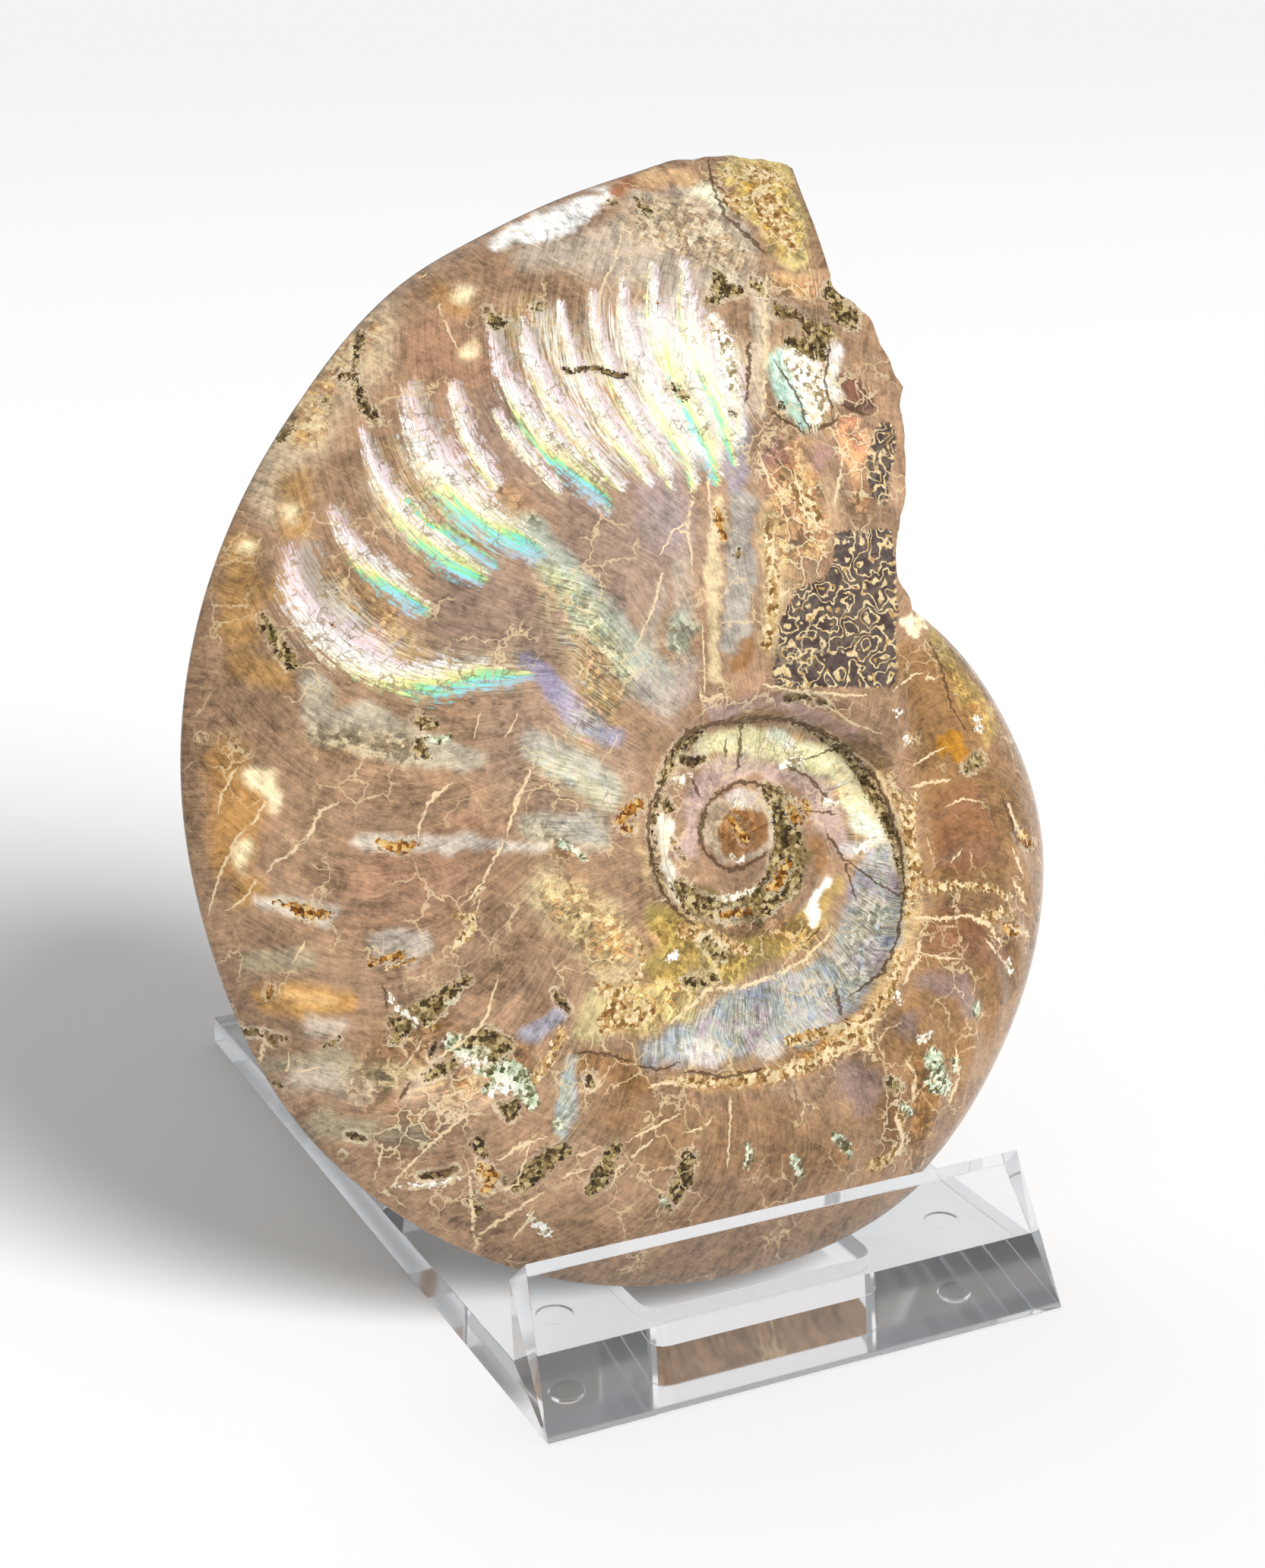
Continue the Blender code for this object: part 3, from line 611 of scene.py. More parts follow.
# Cream veins
VEINS = (
    ((1089, 1232, 2), (1060, 1262, 3), (1028, 1280, 3), (986, 1298, 3), (931, 1304, 3),
     (885, 1345, 2)),
    ((308, 1015, 2), (292, 1045, 2), (288, 1065, 1)),
    ((347, 1060, 2), (335, 1080, 2), (320, 1095, 2), (308, 1108, 2), (302, 1125, 2), (292, 1145, 2),
     (283, 1170, 2), (275, 1200, 1)),
    ((440, 1058, 2), (425, 1065, 3), (413, 1082, 2), (408, 1100, 3), (395, 1112, 2), (380, 1125, 2),
     (362, 1135, 2), (350, 1150, 1)),
    ((338, 1160, 2), (328, 1175, 2), (318, 1187, 2), (303, 1195, 1)),
    ((590, 1035, 2), (575, 1045, 3), (562, 1060, 2), (552, 1085, 2), (550, 1098, 1)),
    ((398, 1245, 2), (388, 1262, 1)),
    ((700, 1010, 2), (690, 1035, 2), (680, 1055, 3), (672, 1080, 2), (668, 1095, 1)),
    ((660, 1115, 2), (648, 1135, 2), (640, 1150, 2), (635, 1175, 2), (628, 1195, 1)),
    ((632, 1165, 2), (620, 1180, 2), (607, 1192, 1)), ((630, 945, 1), (625, 965, 1)),
    ((680, 945, 1), (668, 965, 1)), ((870, 760, 1), (860, 800, 2), (840, 845, 1)),
    ((915, 655, 1), (900, 690, 2), (885, 700, 1), (872, 725, 1)),
    ((910, 640, 1), (906, 700, 2), (912, 750, 1)), ((935, 615, 1), (932, 640, 2), (940, 720, 1)),
    ((925, 830, 1), (928, 920, 1)), ((1000, 600, 1), (1015, 640, 2), (1030, 660, 1)),
    ((1018, 700, 1), (1017, 740, 2), (1028, 785, 2), (1040, 775, 1)),
    ((820, 300, 1), (810, 340, 2), (790, 385, 2), (785, 440, 1)),
    ((578, 405, 1), (590, 435, 2), (600, 455, 1)), ((1010, 903, 2), (1060, 912, 3), (1135, 915, 2)),
    ((655, 1290, 1), (645, 1320, 2), (638, 1345, 2), (610, 1370, 3), (580, 1390, 2)),
    ((552, 1375, 2), (545, 1390, 2), (530, 1405, 1)),
    ((612, 1470, 1), (600, 1480, 3), (580, 1495, 2), (558, 1515, 2)),
    ((548, 1525, 2), (530, 1542, 2), (514, 1566, 2)),
    ((502, 1512, 1), (500, 1530, 3), (493, 1548, 1)),
    ((505, 1570, 2), (515, 1572, 2), (528, 1585, 1)),
    ((380, 1392, 1), (378, 1408, 2), (395, 1412, 2), (415, 1405, 1)),
    ((345, 1358, 2), (346, 1380, 3), (342, 1395, 2)),
    ((618, 1550, 2), (622, 1600, 3), (626, 1640, 3)),
    ((650, 1570, 2), (680, 1560, 2), (700, 1500, 1)),
    ((630, 1625, 2), (670, 1600, 3), (710, 1572, 1)), ((680, 1625, 2), (700, 1600, 2)),
    ((660, 1525, 2), (690, 1505, 3), (715, 1498, 1)),
    ((860, 1500, 1), (835, 1520, 2), (812, 1540, 2), (806, 1560, 1)),
    ((830, 1500, 1), (870, 1480, 2), (890, 1468, 1)),
    ((860, 1430, 2), (880, 1424, 3), (905, 1428, 1)), ((770, 1540, 1), (745, 1548, 2)),
    ((785, 1512, 1), (765, 1520, 2)), ((962, 1450, 2), (960, 1500, 1), (958, 1530, 2)),
    ((905, 1490, 1), (925, 1485, 2), (935, 1475, 1)),
    ((1180, 905, 1), (1200, 890, 2), (1215, 885, 1)), ((1222, 893, 3), (1230, 893, 2)),
    ((1205, 1035, 2), (1225, 1030, 3), (1245, 1028, 2)),
    ((1200, 1010, 1), (1220, 995, 2), (1240, 985, 1)),
    ((1250, 1060, 1), (1265, 1052, 2), (1290, 1055, 1)), ((1255, 1130, 3), (1262, 1122, 2)),
    ((1222, 1110, 1), (1228, 1130, 2)), ((1325, 1050, 1), (1335, 1080, 3), (1345, 1100, 2)),
    ((1335, 1120, 2), (1345, 1150, 1)), ((1335, 1160, 2), (1345, 1180, 3), (1350, 1190, 1)),
    ((1205, 1207, 2), (1240, 1210, 3), (1270, 1205, 2), (1300, 1215, 3), (1315, 1240, 2)),
    ((1212, 1232, 3), (1205, 1265, 3), (1192, 1290, 3)),
    ((1215, 1255, 1), (1245, 1262, 2), (1262, 1262, 1)), ((1300, 1240, 2), (1325, 1270, 2)),
    ((1330, 1220, 3), (1350, 1230, 3)), ((1160, 1340, 2), (1130, 1350, 2), (1115, 1345, 1)),
    ((1195, 1400, 2), (1205, 1418, 3), (1202, 1445, 2)),
    ((1180, 1470, 3), (1188, 1500, 2), (1184, 1520, 3)),
    ((1250, 1450, 2), (1262, 1420, 2), (1258, 1380, 1)),
    ((1115, 985, 1), (1150, 1010, 2), (1165, 1035, 2), (1185, 1090, 2)),
    ((1008, 366, 2), (1006, 430, 3), (1008, 480, 3), (1004, 540, 2)),
    ((1092, 560, 1), (1110, 600, 2), (1100, 660, 2)),
    ((1045, 620, 1), (1060, 680, 2), (1090, 700, 2)), ((920, 910, 1), (925, 925, 3), (945, 915, 2)),
    ((1090, 930, 1), (1120, 950, 2), (1155, 965, 1)),
)

# Dark hairlines: the shell's own cracks, and painted shadow lines in the seams between the whorls,
# where the outer whorl overhangs the inner one
CRACKS_AND_SEAM_SHADOWS = (
    ((985, 455, 3), (985, 470, 3), (986, 490, 3), (984, 510, 2), (982, 525, 2)),
    ((1110, 533, 2), (1125, 540, 3), (1140, 546, 2)),
    ((868, 1040, 3), (857, 1060, 3), (853, 1090, 3), (855, 1120, 3), (862, 1150, 3), (875, 1180, 3),
     (890, 1200, 3), (910, 1215, 2)),
    ((890, 985, 2), (905, 962, 3), (950, 952, 4), (1000, 945, 4), (1040, 947, 4), (1085, 965, 3),
     (1120, 990, 3), (1150, 1022, 3), (1172, 1070, 3), (1186, 1120, 2), (1190, 1170, 2),
     (1182, 1230, 2), (1165, 1280, 2)),
    ((922, 1090, 3), (922, 1110, 3), (935, 1130, 3), (960, 1145, 3), (985, 1140, 3),
     (1005, 1125, 2)),
    ((922, 1090, 3), (930, 1060, 3), (950, 1040, 3), (975, 1030, 3), (1000, 1032, 3),
     (1030, 1045, 2)),
    ((975, 955, 2), (976, 985, 3), (970, 1012, 2)), ((955, 975, 1), (955, 990, 2)),
    ((1060, 1000, 1), (1100, 985, 2)), ((1060, 1068, 1), (1095, 1070, 2)),
    ((1040, 1010, 2), (1060, 1020, 2), (1085, 1045, 3)), ((912, 1030, 2), (920, 1045, 2)),
    ((1112, 1130, 1), (1150, 1160, 2), (1185, 1180, 1)),
    ((1090, 1100, 2), (1110, 1130, 2), (1125, 1180, 1)),
    ((845, 1405, 2), (870, 1408, 2), (890, 1400, 1)),
    ((765, 1386, 2), (800, 1387, 3), (825, 1396, 2)),
    ((905, 1410, 2), (950, 1418, 3), (1000, 1408, 2)), ((1100, 1300, 2), (1106, 1330, 3)),
    ((1060, 1240, 1), (1075, 1225, 2)),
    ((1186, 1200, 2), (1180, 1240, 2), (1160, 1280, 2), (1120, 1310, 1)),
    ((538, 1428, 2), (532, 1440, 3), (528, 1446, 2)), ((505, 1300, 2), (510, 1320, 3)),
    ((1224, 845, 1), (1240, 880, 2), (1252, 930, 2), (1270, 960, 1)),
    ((1320, 1050, 1), (1330, 1080, 2), (1340, 1110, 2)), ((1110, 1510, 3), (1108, 1503, 3)),
    ((1022, 480, 1), (1050, 520, 2), (1062, 560, 2)),
    ((1092, 460, 2), (1085, 500, 2), (1095, 540, 2)),
    ((932, 215, 2), (940, 250, 2), (955, 285, 3), (985, 310, 3), (1005, 332, 2)),
    ((1020, 545, 2), (1060, 570, 2), (1100, 555, 2)),
)

# Grooves between ribs: hue at the top and at the end, and the stroke
GROOVES = (
    (0.05, 0.92, (
        (395, 735, 14), (400, 780, 18), (425, 820, 20), (455, 850, 19), (490, 875, 16),
        (530, 893, 14), (580, 893, 16), (630, 890, 12), (670, 893, 8), (700, 890, 3),
    )),
    (0.10, 0.88, (
        (440, 672, 6), (455, 700, 9), (475, 730, 10), (497, 752, 11), (520, 773, 11), (548, 800, 9),
    )),
    (0.10, 0.80, (
        (478, 565, 4), (492, 600, 7), (508, 640, 9), (530, 670, 11), (555, 700, 13), (585, 728, 13),
        (612, 748, 10), (632, 762, 7),
    )),
    (0.75, 0.95, ((535, 655, 4), (560, 685, 5), (600, 710, 5), (650, 745, 4))),
    (0.10, 0.90, (
        (545, 515, 8), (552, 550, 14), (565, 590, 18), (590, 628, 20), (620, 665, 18),
        (650, 695, 15), (680, 713, 12), (705, 728, 8),
    )),
    (0.30, 0.48, ((598, 510, 6), (606, 540, 8), (618, 575, 9), (635, 605, 9), (652, 632, 7))),
    (0.35, 0.42, ((655, 545, 5), (672, 570, 7), (700, 602, 7), (735, 645, 5))),
    (0.05, 0.90, (
        (648, 425, 5), (655, 455, 8), (668, 490, 10), (685, 525, 12), (705, 560, 13),
        (730, 592, 13), (755, 618, 12), (780, 645, 10), (797, 665, 7),
    )),
    (0.30, 0.46, (
        (690, 420, 4), (697, 455, 7), (712, 495, 10), (735, 535, 12), (760, 570, 10), (785, 600, 8),
        (815, 635, 6),
    )),
    (0.30, 0.46, (
        (738, 400, 4), (745, 440, 6), (762, 485, 7), (790, 535, 8), (815, 575, 8), (840, 610, 6),
        (855, 635, 4),
    )),
    (0.30, 0.48, (
        (782, 385, 4), (785, 425, 6), (800, 475, 7), (825, 525, 9), (850, 570, 9), (872, 605, 7),
        (885, 640, 4),
    )),
    (0.32, 0.55, (
        (820, 370, 4), (822, 410, 7), (835, 455, 9), (858, 505, 10), (885, 555, 10), (905, 600, 7),
        (915, 640, 4),
    )),
    (0.32, 0.75, (
        (860, 350, 4), (862, 400, 8), (875, 445, 11), (895, 490, 12), (918, 540, 12),
        (935, 590, 10), (942, 630, 5),
    )),
    (0.35, 0.62, (
        (900, 345, 4), (905, 395, 9), (918, 440, 12), (935, 485, 13), (952, 530, 12), (962, 575, 9),
        (968, 610, 4),
    )),
    (0.36, 0.50, ((940, 420, 5), (950, 450, 8), (965, 490, 9), (972, 530, 7), (976, 570, 4))),
)

# Where the shell shines with many colours, and where it is grained like a sponge
NACRE_STROKES = (
    ((690, 420, 30), (760, 520, 60), (850, 560, 60), (920, 480, 60)),
    ((1050, 480, 40), (1070, 530, 30)), ((540, 640, 60), (640, 700, 40)),
    ((430, 800, 40), (560, 890, 30), (680, 880, 20)),
    ((740, 780, 30), (790, 880, 40), (770, 960, 30)),
    ((940, 985, 20), (1050, 985, 24), (1130, 1050, 24), (1160, 1130, 26), (1150, 1230, 40),
     (1060, 1320, 50), (950, 1350, 45), (860, 1385, 14)),
    ((720, 1010, 20), (800, 1050, 20)), ((750, 1400, 10), (742, 1490, 8)),
)
SPONGE_STROKES = (
    ((965, 1085, 30),), ((1000, 240, 30), (1030, 300, 26)), ((1040, 600, 30), (1050, 700, 40)),
    ((970, 1210, 30), (1060, 1230, 24)), ((560, 1360, 40), (480, 1430, 30)),
    ((850, 290, 30), (900, 300, 40), (960, 340, 30)),
    ((440, 760, 12), (470, 790, 18), (505, 815, 22), (530, 838, 14)),
    ((640, 620, 8), (660, 645, 10), (685, 665, 10), (705, 690, 8)),
    ((400, 560, 30), (430, 500, 20), (490, 430, 14)), ((420, 970, 16), (540, 985, 20)),
    ((700, 740, 12), (740, 770, 16), (770, 810, 22), (790, 850, 28), (800, 890, 32), (790, 930, 30)),
    ((740, 1180, 30), (800, 1240, 40)), ((700, 1090, 12), (750, 1120, 14)),
    ((900, 830, 20), (890, 860, 14)), ((1130, 665, 18),),
    ((880, 1230, 30), (960, 1260, 30), (840, 1330, 40)), ((1250, 880, 12), (1290, 950, 14)),
    ((620, 1400, 40), (680, 1400, 30)), ((1150, 1200, 30), (1130, 1270, 30)),
    ((1230, 1400, 30), (1200, 1500, 24)), ((1060, 1390, 20), (1130, 1360, 20)),
)

# Where the shell is broken into facets
FACET_STROKES = (
    ((1000, 610, 14), (1050, 650, 34), (1060, 740, 34)), ((1110, 560, 24), (1135, 640, 20)),
    ((1020, 375, 10), (1070, 385, 14)), ((960, 230, 24), (1010, 250, 30), (1035, 320, 24)),
    ((1100, 500, 20), (1140, 530, 20)), ((940, 925, 8), (1030, 918, 10), (1120, 935, 10)),
    ((1160, 1000, 8), (1195, 1080, 10), (1200, 1180, 10)),
    ((1170, 1310, 12), (1100, 1380, 16), (1000, 1425, 12)), ((1180, 1450, 20), (1170, 1530, 16)),
    ((600, 1450, 40), (520, 1500, 30)),
)

# Where painted highlight streaks run along the growth lines, as the light catches the polished upper
# flank
PAINTED_HIGHLIGHT_STROKES = (
    ((720, 430, 16), (760, 520, 40), (820, 580, 34)),
    ((800, 420, 24), (850, 510, 50), (900, 590, 26)),
    ((890, 400, 16), (930, 480, 40), (960, 560, 18)),
    ((560, 590, 14), (600, 650, 16), (660, 700, 10)), ((430, 790, 14), (500, 850, 14)),
    ((500, 640, 8), (540, 700, 10), (600, 740, 8)),
)

# The soft fields by name, each with its strokes and its softness
SOFT_FIELDS = {
    "nacre": (NACRE_STROKES, 22),
    "sponge": (SPONGE_STROKES, 18),
    "painted_highlight": (PAINTED_HIGHLIGHT_STROKES, 26),
    "facets": (FACET_STROKES, 10),
}


def curve(points, x):
    """Smooth curve through the points that doesn't overshoot them, read at x."""
    px, py = np.array(points, float).T
    rise = np.diff(py) / np.diff(px)
    same_way = np.maximum(rise[:-1] * rise[1:], 0)
    middle = 2 * same_way / np.where(same_way > 0, rise[:-1] + rise[1:], 1)
    slope = np.concatenate([rise[:1], middle, rise[-1:]])
    x = np.clip(x, px[0], px[-1])
    i = np.clip(np.searchsorted(px, x, side="right") - 1, 0, len(px) - 2)
    span = px[i + 1] - px[i]
    s = (x - px[i]) / span
    start = (2 * s**3 - 3 * s**2 + 1) * py[i] + (s**3 - 2 * s**2 + s) * span * slope[i]
    end = (3 * s**2 - 2 * s**3) * py[i + 1] + (s**3 - s**2) * span * slope[i + 1]
    return start + end


def ease(low, high, x):
    """0 at low, 1 at high, smooth between."""
    s = np.clip((x - low) / (high - low), 0, 1)
    return s * s * (3 - 2 * s)


def unwound(angle):
    """The direction counted from the notch, which is where the whorls meet on the outline."""
    return (angle - NOTCH) % 360 + NOTCH


def rim_radius(angle):
    """Radius of the fossil's outline."""
    angle = unwound(angle)
    radius = np.where(angle < APERTURE_TOP, curve(BREAK_RADIUS, angle), curve(KEEL_RADIUS, angle))
    return radius - RIM_INSET


def keel_radius(angle):
    """Radius of the whole shell's keel, also of the part lost past the broken aperture."""
    lost = KEEL_RADIUS[0][1] * np.exp((APERTURE_TOP - angle) * LOST_SPIRAL_RATE)
    return np.where(angle < APERTURE_TOP, lost, curve(KEEL_RADIUS, angle))


def flank_height(radius, angle):
    """Half the shell's thickness, without ribs or umbilicus. The angle isn't taken round."""
    growth = np.minimum(APERTURE_TOP - angle, 0)
    half = HALF_THICKNESS * np.exp(THICKNESS_RATE * growth)
    share = np.clip(radius / keel_radius(angle), 0, 1)
    return half * (1 - share**FLANK_POWER) ** VENTER_POWER


def growth_bulge(share):
    """How far a growth line lies ahead of its direction, at a share of the keel's radius."""
    bend = np.minimum(((share - BULGE_AT) / BULGE_SPAN) ** 2, BULGE_LIMIT)
    return BULGE_DEG * (1 - bend)


def swells(radius, angle):
    """Low swells on the lower flank."""
    share = radius / keel_radius(unwound(angle))
    line = unwound(angle) - growth_bulge(share)
    reach = ease(*SWELL_INNER, share) * (1 - ease(*SWELL_OUTER, share))
    lower = ease(*SWELL_FIRST, line) * (1 - ease(*SWELL_LAST, line))
    return reach * UNDULATION_HEIGHT * np.cos(2 * np.pi * line / UNDULATION_STEP_DEG) * lower


def seam_neighbours(radius, angle):
    """Radii of the seam's turns next inside and next outside a point, or 0 and infinity."""
    first = (SEAM_START_DIRECTION - angle) % 360
    inside = np.zeros_like(radius)
    outside = np.full_like(radius, np.inf)
    for turn in (-2, -1, 0, 1):
        growth = first + 360 * turn
        seam = curve(SEAM, growth)
        open_seam = growth <= SEAM_END
        inside = np.where(open_seam & (seam <= radius), np.maximum(inside, seam), inside)
        outside = np.where(open_seam & (seam > radius), np.minimum(outside, seam), outside)
    return inside, outside


def umbilicus_radius(angle, turns_in=0):
    """Radius at which the last whorl begins, or that of the seam some turns further in."""
    first = (SEAM_START_DIRECTION - angle) % 360
    growth = np.where(first + 360 <= SEAM_END, first + 360, first)
    return curve(SEAM, growth - 360 * turns_in)


def umbilicus_floor(radius, angle):
    """Height of the inner whorls: each rises from the seam inside it to the seam outside it."""
    inside, outside = seam_neighbours(radius, angle)
    outside = np.where(np.isinf(outside), inside + 1, outside)
    across = np.clip((radius - inside) / np.maximum(outside - inside, 0.01), 0, 1)
    turn_width = np.clip((outside - inside) / INNER_WHORL_WIDTH, 0, 1)
    x = radius * np.cos(np.radians(angle))
    y = radius * np.sin(np.radians(angle))
    plane = UMBILICUS_LEVEL + UMBILICUS_TILT[0] * x + UMBILICUS_TILT[1] * y
    return plane + INNER_WHORL_RISE * turn_width * (1 - (1 - across) ** 3)


def flank_with_end(radius, angle):
    """Half the thickness, with the step at the broken end of the last whorl."""
    wound = unwound(angle)
    late = np.where(wound < END_STEP[-1][0] - 360, wound + 360, wound)
    near_end = late > END_STEP[0][0]
    last = flank_height(radius, late - 360)
    before = flank_height(radius, np.minimum(late, NOTCH + 360))
    past = ease(0, END_STEP_WIDTH, radius - curve(END_STEP, late))
    return np.where(near_end, last + (before - last) * past, flank_height(radius, wound))


def sharp_height(radius, angle):
    """Height of one face above the middle plane, with sharp seams."""
    edge = umbilicus_radius(angle)
    off_wall = np.abs((angle - WALL_CENTRE + 180) % 360 - 180)
    wall = WALL_DROP * (1 - ease(*WALL_REACH, off_wall))
    wall = wall * (1 - ease(0, WALL_WIDTH, radius - edge))
    height = flank_with_end(radius, angle) - wall + swells(radius, angle)
    floor = np.minimum(umbilicus_floor(radius, angle), height - SEAM_STEP)
    first = (SEAM_START_DIRECTION - angle) % 360
    last_turn = (first + 360 <= SEAM_END) & (radius > umbilicus_radius(angle, turns_in=1))
    flush = np.where(last_turn, ease(*SEAM_FADE, first + 360), 0)
    floor = floor + (height - floor) * flush
    return np.where(radius > edge, height, floor)


def face_height(radius, angle):
    """Height of one face, with its seams softened over the mesh's spacing."""
    return sum(sharp_height(np.maximum(radius + off, 0), angle) for off in SEAM_BLUR) / len(SEAM_BLUR)


def ring_places(zones):
    """Radius and angle of one face's rings of points, from its middle out, as a list of rings."""
    rings, low = [], 0.0
    for high, columns, count in zones:
        angle = np.linspace(0, 360, columns, endpoint=False)
        for step in (np.arange(count) + 0.5) / count:
            far = rim_radius(angle) if high is None else high
            share = 1 - (1 - step) ** RING_CROWDING if high is None else step
            rings.append((low + (far - low) * share, angle))
        low = high
    return rings


def face_points(radius, angle, side):
    """Points of one face in the fossil's own frame."""
    return np.stack([
        radius * np.cos(np.radians(angle)),
        radius * np.sin(np.radians(angle)),
        side * face_height(radius, angle),
    ], axis=-1)


def camera_turn():
    """The camera's axes as rows: right, down and forward in the world."""
    left, _, right = np.linalg.svd(np.array(CAMERA_ROWS))
    return left @ right


def fossil_axes():
    """The fossil's own axes as rows in the world: right, up its face, and out of its front."""
    lean = radians(LEAN_DEG)
    return np.array([
        (1, 0, 0),
        (0, np.sin(lean), np.cos(lean)),
        (0, -np.cos(lean), np.sin(lean)),
    ])


def to_world(points):
    return np.array(POLE) + points @ fossil_axes()


def picture_places(points):
    """Where the camera sees points of the fossil's own frame, in picture coordinates."""
    world = to_world(points)
    seen = (world - np.array(CAMERA_PLACE)) @ camera_turn().T
    x = PICTURE_SIZE[0] / 2 + FOCAL * seen[..., 0] / seen[..., 2]
    y = PICTURE_SIZE[1] / 2 + FOCAL * seen[..., 1] / seen[..., 2]
    return np.stack([x, y], axis=-1)


def mirrored_points(points):
    """The points of the front face whose markings the back takes: mirrored and turned a little."""
    radius = np.hypot(points[..., 0], points[..., 1])
    angle = np.degrees(np.arctan2(points[..., 1], points[..., 0]))
    rim = rim_radius(angle)
    wound = unwound(angle)
    turn = BACK_SHIFT_DEG * ease(*BACK_SHIFT_FIRST, wound) * (1 - ease(*BACK_SHIFT_LAST, wound))
    inset = np.clip(1 - radius / rim, 0, 1)
    turned = angle + turn * ease(*BACK_SHIFT_INSET, inset)
    new_radius = np.minimum(radius / rim, 1) * rim_radius(turned)
    return face_points(new_radius, turned, 1)


def marking_places(points):
    """Picture coordinates at which each point reads its markings."""
    own = picture_places(points)
    mirrored = picture_places(mirrored_points(points))
    behind = ease(*BACK_FADE, points[..., 2])[..., None]
    return own * (1 - behind) + mirrored * behind


def capsule(places, start, end):
    """For one part of a stroke: distance to its middle line, share along it, side and radius."""
    base = np.array(start[:2], float)
    span = np.array(end[:2], float) - base
    length = max(np.hypot(*span), 1e-6)
    away = places - base
    along = np.clip(away @ span / length**2, 0, 1)
    off = away - along[..., None] * span
    side = (span[0] * away[..., 1] - span[1] * away[..., 0]) / length
    radius = start[2] + (end[2] - start[2]) * along
    return np.hypot(off[..., 0], off[..., 1]), along, side, radius


def stroke_parts(stroke):
    return list(zip(stroke, stroke[1:])) or [(stroke[0], stroke[0])]


def strokes_distance(places, strokes):
    """Distance to the nearest stroke's edge, negative inside it."""
    best = np.full(places.shape[:-1], FAR)
    for stroke in strokes:
        for start, end in stroke_parts(stroke):
            distance, _, _, radius = capsule(places, start, end)
            best = np.minimum(best, distance - radius)
    return best


def line_fields(places, strokes):
    """For thin lines: how many half widths to the side of the nearest line, and how far from it."""
    nearest = np.full(places.shape[:-1], FAR)
    ratio = np.full(places.shape[:-1], LINE_SIDES)
    for stroke in strokes:
        for start, end in stroke_parts(stroke):
            distance, _, side, radius = capsule(places, start, end)
            closer = distance < nearest
            nearest = np.where(closer, distance, nearest)
            signed = np.sign(side + 1e-9) * distance / np.maximum(radius, THINNEST_LINE)
            ratio = np.where(closer, np.clip(signed, -LINE_SIDES, LINE_SIDES), ratio)
    return ratio, nearest


def area_distance(places, corners):
    """Distance to a closed outline, negative inside it."""
    best = np.full(places.shape[:-1], FAR)
    inside = np.zeros(places.shape[:-1], bool)
    for start, end in zip(corners, corners[1:] + corners[:1]):
        distance, _, _, _ = capsule(places, (*start, 0), (*end, 0))
        best = np.minimum(best, distance)
        crosses = (start[1] > places[..., 1]) != (end[1] > places[..., 1])
        rise = end[1] - start[1] if end[1] != start[1] else 1e-6
        at_x = start[0] + (places[..., 1] - start[1]) * (end[0] - start[0]) / rise
        inside ^= crosses & (places[..., 0] < at_x)
    return np.where(inside, -best, best)


def groove_fields(places):
    """Hue along the nearest groove, share across it, and distance from its middle in half widths."""
    hue = np.zeros(places.shape[:-1])
    across = np.zeros(places.shape[:-1])
    reach = np.full(places.shape[:-1], GROOVE_LIMIT)
    for first, last, stroke in GROOVES:
        parts = stroke_parts(stroke)
        lengths = [np.hypot(b[0] - a[0], b[1] - a[1]) for a, b in parts]
        total, run = sum(lengths), 0
        for (start, end), length in zip(parts, lengths):
            distance, along, side, radius = capsule(places, start, end)
            ratio = distance / (radius * GROOVE_WIDTH)
            closer = ratio < reach
            share = (run + along * length) / total
            hue = np.where(closer, first + (last - first) * share, hue)
            sideways = np.clip(side / radius, -GROOVE_SIDES, GROOVE_SIDES)
            across = np.where(closer, sideways, across)
            reach = np.where(closer, ratio, reach)
            run += length
    return hue, across, reach


def linear(colour):
    """A colour as seen, 0 to 255, as linear light."""
    share = np.array(colour, float) / 255
    return np.where(share <= 0.04045, share / 12.92, ((share + 0.055) / 1.055) ** 2.4)


def ragged_places(places, points):
    """Places pushed about by noise, so that the soft colours have ragged edges."""
    pushed = places.copy()
    for i, point in enumerate(points):
        place = Vector(point)
        for size, reach in EDGE_WANDER:
            push = noise.noise_vector(place / size)
            pushed[i, 0] += push[0] * reach
            pushed[i, 1] += push[2] * reach
    return pushed


def painted_tones(places):
    """The fossil's soft colours."""
    tones = np.tile(linear(MAUVE_BROWN), (*places.shape[:-1], 1))
    for _, colour, softness, strength, strokes in PAINT + GLOWS:
        softness = softness * SOFTNESS
        distance = strokes_distance(places, strokes)
        cover = strength * (1 - ease(-softness * INNER_SOFTNESS, softness, distance))
        tones += (linear(colour) - tones) * cover[..., None]
    return tones


def soft_share(places, strokes, softness):
    return 1 - ease(-softness, softness, strokes_distance(places, strokes))


def fine_relief(places):
    """Height of grooves and pits below the face."""
    _, _, reach = groove_fields(places)
    relief = -GROOVE_DEPTH * (1 - ease(*GROOVE_WALL, reach))
    for kind in PIT_KINDS:
        relief -= PIT_DEPTH * (1 - ease(*PIT_WALL, strokes_distance(places, MARKS[kind])))
    return relief


def break_share(x, y):
    """1 on the broken end, fading to 0 a little way into the flank."""
    wound = unwound(np.degrees(np.arctan2(y, x)))
    inset = rim_radius(wound) - np.hypot(x, y)
    share = ease(BREAK_DEPTH, 0, inset) * (1 - ease(*BREAK_FADE, wound))
    return np.where(wound > BREAK_FADE[1], 0, share)


def roughen(points):
    """Breaks up the broken end."""
    depth = BREAK_ROUGHNESS * break_share(points[:, 0], points[:, 1])
    for i in np.nonzero(depth > 0.01)[0]:
        place = Vector(points[i])
        crumbs = BREAK_CRUMB_SHARE * noise.noise_vector(place / BREAK_CRUMB)
        push = noise.noise_vector(place / BREAK_LUMP) + crumbs
        points[i] += np.array(push) * depth[i]


